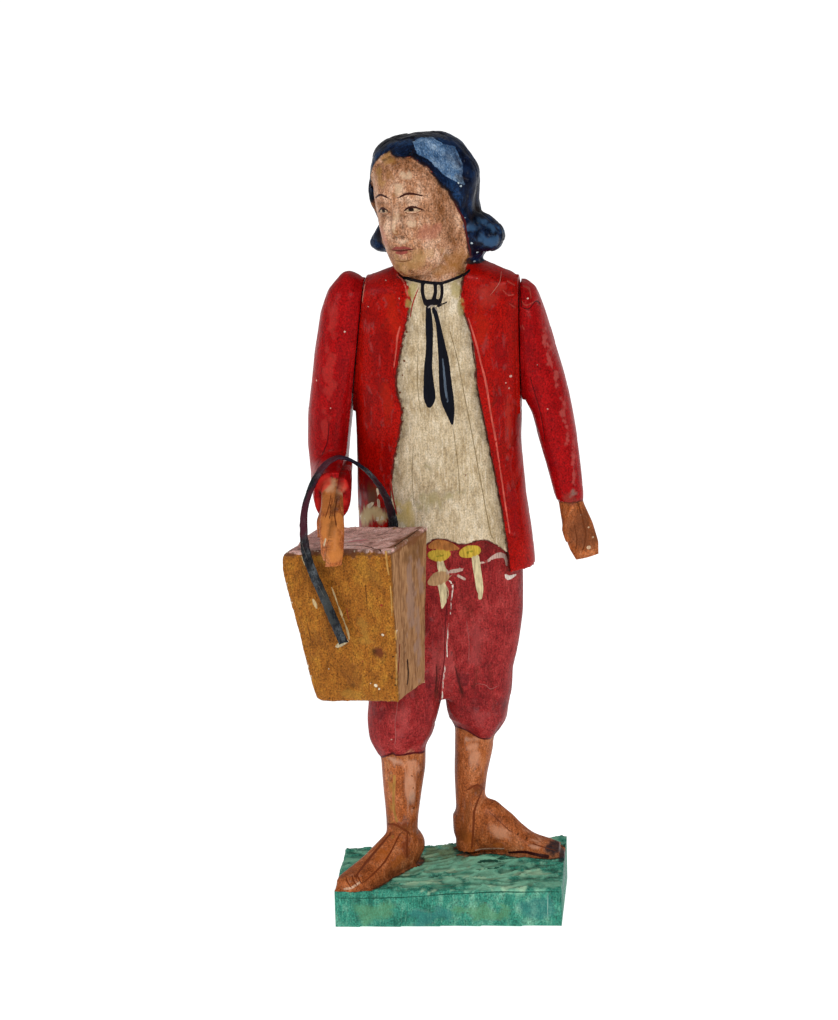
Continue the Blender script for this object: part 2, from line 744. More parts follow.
class PaintBox:
    """Builds the materials from areas of paint and from what the points keep."""

    GESSO = "#d9cdb4"
    DIRT = "#2a1c10"
    MARK_LAYERS = 2
    MARK_HEIGHT = 0.04
    LINE_DEPTH = 0.08
    CHIP_DEPTH = 0.05
    SPECULAR = 0.055

    def __init__(self, name: str) -> None:
        """Starts a material.

        Args:
            name: Its name.
        """
        self.material = bpy.data.materials.new(name)
        self.material.use_nodes = True
        self.net = Net(self.material.node_tree)
        self.net.tree.nodes.clear()
        place = self.net.node("TexCoord").outputs["Object"]
        self.place = self.net.node("VectorMath", {0: place, 3: 1 / MM}, operation="SCALE").outputs[0]
        self.colour: Socket | None = None
        self.dull: Value = 0.5
        self.height: Value = 0.0

    def lay(self, area: PaintArea) -> None:
        """Lays one paint over what is there.

        Args:
            area: The paint and where it lies.
        """
        net, paint = self.net, area.paint
        inputs = {
            "Place": self.place,
            "Base": linear(paint.base),
            "Dark": linear(paint.dark),
            "Light": linear(paint.light),
            "Patches": paint.patches,
            "Streaks": paint.streaks,
            "Specks": paint.specks,
            "Grain": paint.grain,
        }
        brushed = GroupKit.place(net, "brushed_paint", inputs)
        terms = {0: brushed.outputs["Gloss"], 1: 0.5, 2: paint.rough - 0.14}
        dull = net.node("Math", terms, operation="MULTIPLY_ADD").outputs[0]
        height = net.times(brushed.outputs["Height"], paint.relief)
        if not area.inside:
            self.colour, self.dull, self.height = brushed.outputs["Color"], dull, height
            return
        edge = self.edge(net.attribute(area.inside).outputs["Fac"], area.wobble)
        cover = edge.outputs["Cover"]
        self.colour = net.blend(cover, self.colour, brushed.outputs["Color"])
        self.dull = net.between(cover, self.dull, dull)
        self.height = net.between(cover, self.height, height)
        if area.rim:
            rim = net.times(edge.outputs["Rim"], area.rimmed)
            self.colour = net.blend(rim, self.colour, linear(area.rim))

    def edge(self, inside: Socket, wobble: float, soft: float = 0.06) -> bpy.types.Node:
        """The cover and the rim of something whose inside is known."""
        inputs = {"Inside": inside, "Place": self.place, "Wobble": wobble, "Soft": soft}
        return GroupKit.place(self.net, "paint_edge", inputs)

    def stains(self) -> None:
        """Tints the paint with the soft patches kept on the points."""
        stain = self.net.attribute("stain")
        self.colour = self.net.blend(stain.outputs["Alpha"], self.colour, stain.outputs["Color"])

    def marks(self) -> None:
        """Lays the brush marks and then the fine lines over the paint."""
        net = self.net
        streak = net.noise(self.place, (3.0, 3.0, 0.5), 3.0, 17.0)
        shade = net.blend(net.sweep(streak, 0.7, 0.3), (1.1, 1.1, 1.1, 1), (0.62, 0.6, 0.6, 1))
        for number in range(self.MARK_LAYERS):
            mark = net.attribute(f"mark_colour_{number}").outputs["Color"]
            inside = net.attribute(f"mark_inside_{number}").outputs["Fac"]
            cover = self.edge(inside, 0.14, 0.05).outputs["Cover"]
            paint = net.blend(1.0, mark, shade, "MULTIPLY")
            self.colour = net.blend(cover, self.colour, paint)
            self.dull = net.between(cover, self.dull, 0.4)
            self.height = net.plus(self.height, net.times(cover, self.MARK_HEIGHT))
        offset = net.math("ABSOLUTE", net.attribute("line_offset").outputs["Fac"])
        shake = net.noise(self.place, (1.5, 1.5, 1.5), 3.0, 29.0)
        unsteady = net.plus(offset, net.times(shake, 0.9))
        thin = net.sweep(unsteady, 1.5, 1.1)
        reach = net.sweep(net.attribute("line_reach").outputs["Fac"], 0.6, 0.45)
        line = net.times(thin, reach)
        colour = net.attribute("line_colour").outputs["Color"]
        self.colour = net.blend(line, self.colour, colour)
        self.height = net.math("SUBTRACT", self.height, net.times(line, self.LINE_DEPTH))

    def wood(self, pale: str, deep: str) -> None:
        """Starts from raw wood instead of a paint.

        Args:
            pale: The colour of its early wood.
            deep: The colour of its grain.
        """
        inputs = {"Place": self.place, "Pale": linear(pale), "Deep": linear(deep)}
        raw = GroupKit.place(self.net, "wood_grain", inputs)
        self.colour = raw.outputs["Color"]
        self.dull = 0.7
        self.height = self.net.times(raw.outputs["Height"], 0.12)

    def age(self, wear: float, dirt: float) -> None:
        """Adds dirt in the hollows and shows the ground where edges are worn.

        Args:
            wear: How far edges have lost their paint.
            dirt: How much dirt lies in the hollows.
        """
        net = self.net
        inputs = {"Hollow": net.attribute("hollow").outputs["Fac"], "Place": self.place, "Amount": dirt}
        grime = GroupKit.place(net, "old_dirt", inputs).outputs["Dirt"]
        self.colour = net.blend(grime, self.colour, linear(self.DIRT))
        self.dull = net.between(grime, self.dull, 0.75)
        inputs = {"Edge": net.attribute("edge").outputs["Fac"], "Place": self.place, "Amount": wear}
        worn = GroupKit.place(net, "worn_edge", inputs).outputs["Worn"]
        self.colour = net.blend(net.times(worn, 0.8), self.colour, linear(self.GESSO))
        self.dull = net.between(worn, self.dull, 0.7)
        self.height = net.math("SUBTRACT", self.height, net.times(worn, self.CHIP_DEPTH))

    def finish(self, coat: float = 0.025, coat_rough: float = 0.2) -> bpy.types.Material:
        """Closes the material.

        Args:
            coat: How much old varnish lies over it.
            coat_rough: How dull the varnish is.

        Returns:
            The material.
        """
        net = self.net
        bump = net.node("Bump", {"Strength": 1.0, "Distance": MM, "Height": self.height})
        inputs = {
            "Base Color": self.colour,
            "Roughness": self.dull,
            "Normal": bump.outputs[0],
            "Coat Weight": coat,
            "Coat Roughness": coat_rough,
            "Specular IOR Level": self.SPECULAR,
        }
        shader = net.node("BsdfPrincipled", inputs)
        net.node("OutputMaterial", {"Surface": shader.outputs[0]})
        return self.material


# Where the forms of the CAD part lie


@dataclass(frozen=True)
class Upright:
    """An upright form of the CAD part, from the same rows.

    Attributes:
        rows: Rows of z, lowest x, highest x, centre y, half depth and squareness.
        turn: How far its sections are turned to the figure's right, in degrees.
    """

    rows: Rows
    turn: float = 0.0

    def inside(self, points: Array) -> Array:
        """How far points lie inside the form.

        Args:
            points: The points.

        Returns:
            The distance in millimetres, negative outside it.
        """
        rows = np.asarray(self.rows, dtype=float)
        rows = rows[np.argsort(rows[:, 0])]
        left, right, middle, deep, square = (
            np.interp(points[:, 2], rows[:, 0], rows[:, i]) for i in range(1, 6)
        )
        wide = (right - left) / 2
        aside, ahead = points[:, 0] - (left + right) / 2, points[:, 1] - middle
        c, s = math.cos(math.radians(self.turn)), math.sin(math.radians(self.turn))
        across = np.abs((aside * c - ahead * s) / wide)
        along = np.abs((aside * s + ahead * c) / deep)
        reach = (across**square + along**square) ** (1 / square)
        beyond = np.maximum(rows[0, 0] - points[:, 2], points[:, 2] - rows[-1, 0])
        return np.minimum((1 - reach) * np.minimum(wide, deep), -beyond)


@dataclass(frozen=True)
class Limb:
    """A form of the CAD part that runs through stations.

    Attributes:
        stations: Rows of x, y, z, half width and half depth.
        across: The way its width lies.
    """

    stations: Rows
    across: tuple[float, float, float]

    def inside(self, points: Array) -> Array:
        """How far points lie inside the form.

        Args:
            points: The points.

        Returns:
            The distance in millimetres, negative outside it.
        """
        chain = curve_through(self.stations, 3)
        best = np.full(len(points), -99.0)
        for a, b in zip(chain, chain[1:]):
            run = b[:3] - a[:3]
            length = float(run @ run)
            share = np.clip(((points - a[:3]) @ run) / length, 0, 1)
            gap = points - a[:3] - share[:, None] * run
            side = np.array(self.across) - run * (np.array(self.across) @ run) / length
            side /= np.linalg.norm(side)
            front = np.cross(side, run / math.sqrt(length))
            wide, deep = (a[i] + (b[i] - a[i]) * share for i in (3, 4))
            beyond = (gap @ run) / math.sqrt(length)
            reach = np.sqrt((gap @ side / wide) ** 2 + (gap @ front / deep) ** 2 + beyond**2)
            best = np.maximum(best, (1 - reach) * np.minimum(wide, deep))
        return best


@dataclass(frozen=True)
class Placement:
    """Where a form lies that was made about its own centre and then turned.

    Attributes:
        centre: Its centre.
        turn: How far it is turned to the figure's right, in degrees.
        tilt: How far its top leans to the figure's right, in degrees.
    """

    centre: tuple[float, float, float]
    turn: float
    tilt: float

    def matrix(self) -> Array:
        """Turns a direction of the form into one of the whole part."""
        turned = Matrix.Rotation(math.radians(-self.turn), 3, "Z")
        return np.array(turned @ Matrix.Rotation(math.radians(-self.tilt), 3, "Y"))

    def local(self, points: Array) -> Array:
        """Points as the form's own."""
        return (points - np.array(self.centre)) @ self.matrix()

    def world(self, points: Array) -> Array:
        """Points of the form as those of the whole part."""
        return points @ self.matrix().T + np.array(self.centre)


@dataclass(frozen=True)
class ToolMarks:
    """The flat cuts that a tool leaves.

    Attributes:
        cell: The size of a cut along x, y and z.
        flat: How far its flat stands out or in, in millimetres.
        edge: How far the edges between cuts stand out, negative where they are grooves.
    """

    cell: tuple[float, float, float]
    flat: float
    edge: float

    def height(self, noise: Noise, points: Array) -> Array:
        """How far out each point is moved by the cuts."""
        flat, edge = noise.facets(points, self.cell)
        return self.flat * flat + self.edge * edge


# The pieces


@dataclass
class Carving:
    """A piece of the figure that is cut from its solid and painted.

    Attributes:
        node: The CAD node that it stands for.
        slot: Its material slot in the record.
        grain: The size of its small faces before they are thinned out.
        faces: How many triangles it may keep.
        seed: The seed of its noise.
    """

    PAINTED: ClassVar[tuple[Mark, ...]] = ()
    TOUCHES: ClassVar[tuple[Mark, ...]] = ()
    LINES: ClassVar[tuple[Mark, ...]] = ()
    STAINS: ClassVar[tuple[Stain, ...]] = ()
    SMOOTHING = 44
    QUICK_SMOOTHING = 12
    FULL_BEND = 0.05
    FULL_HOLLOW = 0.22
    FULL_EDGE = 0.3

    node: str
    slot: str
    grain: float = 0.25
    faces: int = 190_000
    seed: int = 1

    def build(self) -> bpy.types.Object:
        """Makes the piece.

        Returns:
            The finished object.
        """
        self.noise = Noise(self.seed)
        piece = self.blank()
        self.remesh(piece)
        skin = Skin(piece)
        self.soften(skin)
        self.carve(skin)
        self.hold(skin)
        skin.write()
        self.thin(piece, skin)
        skin = Skin(piece)
        self.keep(skin)
        self.hold(skin)
        skin.write()
        bpy.ops.object.shade_smooth()
        piece.data.materials.clear()
        piece.data.materials.append(self.material())
        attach(piece, "root")
        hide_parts(self.node)
        LOG.info("%s: %d faces", self.node, len(piece.data.polygons))
        return piece

    def blank(self) -> bpy.types.Object:
        """A closed copy of the solid."""
        bpy.ops.object.select_all(action="DESELECT")
        piece = frame["nodes"][self.node].copy()
        piece.data = piece.data.copy()
        for key in list(piece.keys()):
            del piece[key]
        piece.parent = None
        piece.name = "carved_" + self.node
        piece.matrix_world = Matrix.Identity(4)
        bpy.context.scene.collection.objects.link(piece)
        bpy.context.view_layer.objects.active = piece
        piece.select_set(True)
        bpy.ops.object.mode_set(mode="EDIT")
        bpy.ops.mesh.select_all(action="SELECT")
        bpy.ops.mesh.remove_doubles(threshold=1e-6)
        bpy.ops.object.mode_set(mode="OBJECT")
        return piece

    def modify(self, piece: bpy.types.Object, kind: str, **settings) -> None:
        """Adds a modifier to the piece and applies it."""
        modifier = piece.modifiers.new(kind.lower(), kind)
        for name, value in settings.items():
            setattr(modifier, name, value)
        bpy.ops.object.modifier_apply(modifier=modifier.name)

    def remesh(self, piece: bpy.types.Object) -> None:
        """Covers the solid with an even skin of small faces."""
        size = self.grain * MM * 1.0
        self.modify(piece, "REMESH", mode="VOXEL", voxel_size=size)

    def soften(self, skin: Skin) -> None:
        """Smooths the solid's facets away and leaves its real edges."""
        rounds = self.SMOOTHING
        skin.relax(2)
        sharp = np.abs(skin.bend(3))
        for _ in range(2):
            sharp = np.maximum(sharp, skin.blur(sharp))
        free = fade(self.grain * 0.5, self.grain * 0.16, sharp) * self.free(skin)
        skin.smooth(rounds, free)

    def free(self, skin: Skin) -> Array | float:
        """How freely each point may be smoothed, from 0 to 1."""
        return 1.0

    def carve(self, skin: Skin) -> None:
        """Cuts the relief that is finer than the solid."""

    def groove_marks(self, skin: Skin) -> None:
        """Raises or sinks the marks that have a relief."""
        normals = skin.normals()
        height = np.zeros(len(skin.points))
        for mark in (*self.PAINTED, *self.TOUCHES, *self.LINES):
            if mark.relief:
                inside = mark.spread(skin.points, normals)[0]
                height += mark.relief * fade(-0.25, 0.2, inside)
        skin.points = skin.points + normals * height[:, None]

    def hold(self, skin: Skin) -> None:
        """Keeps every point inside the solid's box."""
        low, high = (np.array(corner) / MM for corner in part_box(self.node))
        skin.points = np.clip(skin.points, low + BOX_MARGIN, high - BOX_MARGIN)

    def thin(self, piece: bpy.types.Object, skin: Skin) -> None:
        """Thins the faces out where there is little to see."""
        triangles = 2 * len(piece.data.polygons)
        if triangles <= self.faces:
            return
        sharp = np.abs(skin.bend(2))
        sharp = np.maximum(sharp, skin.blur(sharp))
        plain = fade(self.grain * 0.30, self.grain * 0.04, sharp)
        plain = np.clip(plain * (1 - self.detail(skin)), 0.02, 1.0)
        group = piece.vertex_groups.new(name="plain")
        for step in range(1, 11):
            chosen = np.nonzero(np.ceil(plain * 10) == step)[0]
            group.add(chosen.tolist(), step / 10, "REPLACE")
        wanted = {"ratio": self.faces / triangles, "vertex_group": group.name, "vertex_group_factor": 1e-6}
        self.modify(piece, "DECIMATE", use_collapse_triangulate=True, **wanted)
        piece.vertex_groups.clear()

    def detail(self, skin: Skin) -> Array:
        """Where fine painting needs small faces, from 0 to 1."""
        normals = skin.normals()
        close = np.zeros(len(skin.points))
        for mark in (*self.PAINTED, *self.TOUCHES, *self.LINES):
            inside = mark.spread(skin.points, normals)[0]
            close = np.maximum(close, fade(0.7, 0.3, np.abs(inside)))
        for inside in self.areas(skin.points).values():
            close = np.maximum(close, fade(0.9, 0.3, np.abs(inside)))
        return close

    def areas(self, points: Array) -> dict[str, Array]:
        """How far points lie inside each area of paint."""
        return {}

    def keep(self, skin: Skin) -> None:
        """Stores the areas, marks, lines and stains on the points."""
        for name, inside in self.areas(skin.points).items():
            skin.store(name, np.clip(inside, -4, 4))
        self.keep_marks(skin)
        self.keep_lines(skin)
        self.keep_stains(skin)
        self.keep_bend(skin)

    def material(self) -> bpy.types.Material:
        """The piece's paint."""
        raise NotImplementedError

    def keep_bend(self, skin: Skin) -> None:
        """Stores how hollow and how edge-like each point is."""
        near = skin.bend(2)
        wide = skin.bend(9)
        for _ in range(2):
            near = skin.blur(near)
        near /= self.FULL_BEND
        hollow = np.clip(near, 0, 1) * 0.6 + np.clip(wide / self.FULL_HOLLOW, 0, 1) * 0.6
        edge = np.clip(-near, 0, 1) * 0.6 + np.clip(-wide / self.FULL_EDGE, 0, 1) * 0.4
        for seam in SEAMS:
            for way in (-1, 1):
                edge = edge * fade(0.2, 1.4, np.abs(seam.off(skin.points, way)[1]))
        skin.store("hollow", np.clip(hollow, 0, 1))
        skin.store("edge", np.clip(edge, 0, 1))

    def keep_stains(self, skin: Skin) -> None:
        """Stores the soft patches as one colour with its strength."""
        colour = np.full((len(skin.points), 3), 0.2)
        alpha = np.zeros(len(skin.points))
        areas = self.areas(skin.points)
        for stain in self.STAINS:
            cover = stain.cover(skin.points, self.noise)
            if stain.area:
                cover = cover * fade(-0.1, 0.3, areas[stain.area])
            total = cover + alpha * (1 - cover)
            share = np.where(total > 0, cover / np.maximum(total, 1e-6), 0)[:, None]
            colour = colour * (1 - share) + np.array(linear(stain.colour)[:3]) * share
            alpha = total
        skin.store("stain", np.column_stack([colour, alpha]))

    def keep_marks(self, skin: Skin) -> None:
        """Stores each layer's brush marks: how far inside one a point is, and the last one's colour."""
        normals = skin.normals()
        count = len(skin.points)
        for number, marks in enumerate((self.PAINTED, self.TOUCHES)):
            best = np.full(count, -9.0)
            rank = np.full(count, -99.0)
            colour = np.full((count, 3), 0.1)
            for order, mark in enumerate(marks):
                inside = mark.spread(skin.points, normals)[0]
                worth = np.where(inside > 0, order + 1.0, inside)
                higher = worth > rank
                rank = np.where(higher, worth, rank)
                colour[higher] = linear(mark.colour)[:3]
                best = np.maximum(best, inside)
            skin.store(f"mark_inside_{number}", np.clip(best, -2, 2))
            skin.store(f"mark_colour_{number}", np.column_stack([colour, np.ones(count)]))

    def keep_lines(self, skin: Skin) -> None:
        """Stores the nearest fine line: the offset from it, how far it is, and its colour."""
        normals = skin.normals()
        count = len(skin.points)
        nearest = np.full(count, 9.0)
        offset = np.full(count, 30.0)
        colour = np.full((count, 3), 0.05)
        for line in self.LINES:
            inside, signed, half = line.spread(skin.points, normals)
            closer = -inside < nearest
            nearest = np.where(closer, -inside, nearest)
            offset = np.where(closer, signed / half, offset)
            colour[closer] = linear(line.colour)[:3]
        skin.store("line_offset", np.clip(offset, -30, 30))
        skin.store("line_reach", np.clip(nearest, -1, 9))
        skin.store("line_colour", np.column_stack([colour, np.ones(count)]))


HEAD = Placement((-2.5, 0.5, 137.1), 28.0, 6.5)
PAIL = Placement((-15.8, -11.95, 76.4), 18.0, 5.2)


@dataclass(frozen=True)
class GlueSeam:
    """The plane in which an arm is glued to the coat.

    Attributes:
        x: Where it lies at its foot.
        lean: How far it leans towards the neck from there up, in degrees.
        side: 1 for the figure's left, -1 for its right.
    """

    x: float
    lean: float
    side: int

    FOOT = 97.0
    TOP = 124.4
    ARM_SIDE = 0.16
    COAT_SIDE = 0.08
    BOW = 0.42
    DEPTH = (3.4, 2.4)

    def off(self, points: Array, way: int) -> tuple[Array, Array]:
        """Where the gap's edge lies, and how far points are from it on one side.

        Inside the joint the gap bows away from the coat, so that no light falls through it.

        Args:
            points: The points.
            way: 1 for the arm's side of the gap, -1 for the coat's.

        Returns:
            The edge's x and the distance.
        """
        x, y, z = points.T
        slope = -self.side * math.tan(math.radians(self.lean))
        half = self.ARM_SIDE if way > 0 else -self.COAT_SIDE
        edge = self.x + slope * (z - self.FOOT) + self.side * half
        middle, reach = self.DEPTH
        inner = bell((y - middle) / reach) * fade(98, 102, z) * fade(123, 119, z)
        edge = edge + self.side * self.BOW * inner
        return edge, (x - edge) * self.side * way

    def snap(self, skin: Skin, way: int) -> None:
        """Lays the points near the plane flat against its gap.

        Args:
            skin: The skin to move.
            way: 1 for the arm's side of the gap, -1 for the coat's.
        """
        edge, off = self.off(skin.points, way)
        z = skin.points[:, 2]
        near = (off < 0.5) & (off > -1.0) & (z < self.TOP)
        if way < 0:
            near &= z > self.FOOT + 0.2
        skin.points[near, 0] = edge[near]


SEAMS = (GlueSeam(-16.9, 7.2, -1), GlueSeam(14.9, 0.0, 1))


@dataclass
class Figure(Carving):
    """Head, clothes, legs and plinth: the one carved block."""

    FACE_EDGE = (
        (-0.7, 10.5), (-2.3, 10.1), (-4.2, 9), (-6.2, 6.9), (-7.6, 4.2), (-8.6, 1), (-10.5, -1),
        (-10.5, -18), (11, -18), (11, -2.2), (9, 0.4), (7.5, 3.2), (7, 5.6), (6.1, 7.1), (4.9, 8.3),
        (3.6, 9.3), (2.3, 9.3), (0.3, 9.5),
    )
    FACE_DEPTH = (
        (-12, 0.9), (-10.3, 0.6), (-8.8, -0.3), (-6.3, -1), (-4.2, -0.8), (-2.4, -1.4), (-0.4, -1.8),
        (1.7, -2.9), (3.7, -3), (6, -2), (12, -2),
    )
    OPENING = (
        (-11.6, 60), (-11, 68), (-9.9, 80), (-9.2, 87), (-7.6, 94.5), (-7, 99),
        (-8, 103.6), (-7, 110), (-5.4, 117), (-4.9, 121.5), (-7.5, 125), (-9, 131),
        (7, 131), (5.4, 125), (4.6, 119.5), (6, 115), (7, 109), (7.2, 103.5),
        (8.9, 93.6), (10.4, 84.6), (12, 74), (12.5, 67), (12.8, 60),
    )
    CAP = Upright((
        (-12, -7.6, 7.6, 4.4, 5.8, 2), (-10.2, -9.4, 9.4, 3.7, 7.6, 2),
        (-7, -9.9, 9.9, 2.4, 9.4, 2), (-3, -9.3, 9.3, 1.5, 10.1, 2),
        (1.5, -9.5, 9.5, 1.1, 10.5, 2), (6, -9.2, 9.2, 0.9, 10.4, 2),
        (9.6, -7.8, 7.8, 0.9, 9.1, 2), (11.7, -5.4, 5.4, 0.9, 6.6, 2), (12.5, -2.8, 2.8, 0.9, 3.7, 2),
    ))
    COAT = Upright((
        (67.4, -16.7, 17.1, 3.9, 9.5, 2.3), (80, -16.5, 15.7, 3.6, 9.2, 2.2),
        (98, -16.5, 15.1, 3.2, 9.1, 2.4), (112, -17.8, 16, 3.4, 9.2, 2.4),
        (117, -17.8, 16, 3.2, 8.9, 2.3), (120.4, -17.6, 16, 2.9, 8.2, 2.1),
        (121.8, -16.6, 15, 2.7, 7.8, 2), (123, -12.4, 14.2, 2.4, 7.5, 2),
        (124.5, -8.6, 11.6, 2.1, 7.2, 2), (125.8, -6.9, 7.8, 2.2, 6.7, 2),
    ), 6)
    CALVES = (
        Upright((
            (8, -12.6, -6.4, 2.4, 3.3, 2.2), (13, -12.7, -6.7, 1.9, 3.3, 2.2),
            (17, -12.8, -6.4, 1.9, 3.5, 2.2), (22, -13.1, -5.6, 2.4, 4, 2.2),
            (27, -13.3, -4.7, 2.7, 4.5, 2.2), (34, -13.4, -4.6, 2.2, 4.5, 2.2),
        )),
        Upright((
            (9, 0.3, 6.3, 6.6, 3.2, 2.2), (15.5, 0.4, 6.6, 6.4, 3.4, 2.2),
            (20, 0.3, 6.2, 6.4, 3.5, 2.2), (24, 0.3, 6.8, 6.6, 3.9, 2.2),
            (29, 0.5, 8, 6.6, 4.4, 2.2), (37, 0.8, 8.8, 6.2, 4.5, 2.2),
        )),
    )
    FEET = (
        Limb((
            (-7.6, 5.3, 9.6, 1.7, 1.8), (-8, 4.4, 10.2, 2.9, 3.2), (-9.3, 2, 11, 3.3, 4.6),
            (-11.4, -1, 10.4, 3.3, 4), (-13.9, -4.6, 9.3, 3.4, 2.9), (-16.6, -8.4, 8.6, 3.5, 2.1),
            (-18.8, -11.3, 8.2, 3, 1.6), (-19.7, -12.6, 8, 2, 1),
        ), (-0.8, 0.6, 0)),
        Limb((
            (1.1, 6.4, 10.8, 1.6, 1.8), (2, 6.4, 11.6, 2.9, 3.4), (4.6, 6.4, 13.8, 3.3, 6),
            (8, 6.3, 12.8, 3.3, 4.9), (11.4, 6.2, 11.2, 3.4, 3.4), (14.8, 6, 9.9, 3.4, 2.2),
            (18.2, 5.9, 9.4, 3, 1.6), (20.6, 5.8, 9.2, 2.2, 1.1),
        ), (0, -1, 0)),
    )
    CURLS = tuple(
        Limb((
            (side * 6.5, 3.6, -4.6, 2.2, 4), (side * 8.8, 3.4, -5.6, 3, 4.2),
            (side * 11, 3.2, -6.8, 2.9, 4), (side * 12.6, 3, -7.7, 2.2, 3.3),
            (side * 13.5, 3, -8.2, 1.1, 2),
        ), (0, 0, 1))
        for side in (-1, 1)
    )
    NECK = ((0.1, 0.85), 6.5)
    COLLAR = (
        (-9, 123.9), (-7.1, 123.7), (-5.5, 123.5), (-2.6, 123.2), (-0.2, 123), (1.2, 123),
        (3, 123.5), (4.8, 124.2), (6.1, 125.2), (9, 125.4),
    )
    SKIRT_FOOT = 67.2
    PLINTH_TOP = 7.2
    HEM = (
        (-12, 72.6), (-3.2, 72.9), (-2.7, 73.3), (-1.8, 74), (-0.7, 74.3), (0.6, 74.2), (2, 73.7),
        (3, 73.2), (4.4, 73.2), (5.3, 73.3), (6.4, 73.7), (7.4, 73.8), (8.2, 73.8), (9.2, 73.2),
        (10.1, 72.5), (11, 71.7), (11.8, 70.7), (12.3, 70.5), (14, 70),
    )
    LEG_STEPS = (30.45, 32.3)
    LEG_HEMS = (
        (-13.6, 29.4), (-12, 30.4), (-10.7, 31.2), (-9.9, 30.8), (-6.7, 31.1), (-4.8, 30.4), (-3, 30.4),
        (-2.9, 33.4), (1, 34.5), (3, 34.5), (4.5, 33.7), (6, 32.9), (7.7, 32.5), (9.3, 33.4),
    )
    FACET = (
        (-3.6, 149), (-2.2, 149.6), (-0.3, 149.4), (2.1, 148.1), (3.8, 147.6), (5.4, 144.6), (5.2, 142.7),
        (5.9, 140.9), (2.4, 143), (-0.5, 145.9), (-2.8, 147.3),
    )
    FACET_PLANE = ((1.38, -3.97, 146.21), (0.511, -0.630, 0.585))
    KNIFE = ToolMarks((4.2, 4.2, 7), 0.07, -0.03)
    LOCKS = ToolMarks((3.2, 3.2, 6.5), 0.22, -0.1)
    GOUGE = ToolMarks((6.5, 2.4, 9), 0.42, 0.3)
    GOUGE_TURN = ((0.95, -0.3, 0), (0.3, 0.95, 0), (0, 0, 1))
    BETWEEN_LEGS = -2.95
    # Rows of x, z, lean and depth
    FOLDS = (
        (-9, 47, .15, .3), (-5.5, 42, -.1, .25), (-1.8, 45, .05, .35), (2.4, 46, -.12, .35),
        (6, 50, .1, .25), (8.8, 43, -.1, .3),
    )
    # Rows of x and z
    KNOBS = ((12.6, 122.4), (13.8, 121.6), (14, 119.8))
    # Rows of how far out, x, reach across, z and reach up, for both halves of the face
    FEATURES = (
        (0.28, 3.2, 1.35, -0.15, 0.85),  # the eyes
        (-0.16, 3.2, 2.2, 1.2, 0.35), (-0.1, 3.2, 2, -1.35, 0.35),  # the lids' creases
        (0.16, 1.25, 0.6, -4.4, 0.7), (-0.22, 0.75, 0.35, -5.05, 0.3),  # the nose's wings and nostrils
        (-0.18, 0, 0.45, -6.1, 0.5), (-0.26, 0, 2.1, -7.5, 0.24), (-0.2, 0, 1.6, -9.5, 0.5),  # the mouth
    )
    # Rows of x, y, z, reach across, reach up and how far out
    SWELLS = (
        (-9.6, -1, 1.2, 2.8, 4.6, 1.2), (9.2, 2, 4.6, 4, 4, 1.8), (-6, -2, 11, 4, 3, 0.6),
        (12.6, 2.5, -9, 3.5, 3.5, 0.8), (-13.6, 2, -3.4, 2.2, 2.8, -0.9),
    )

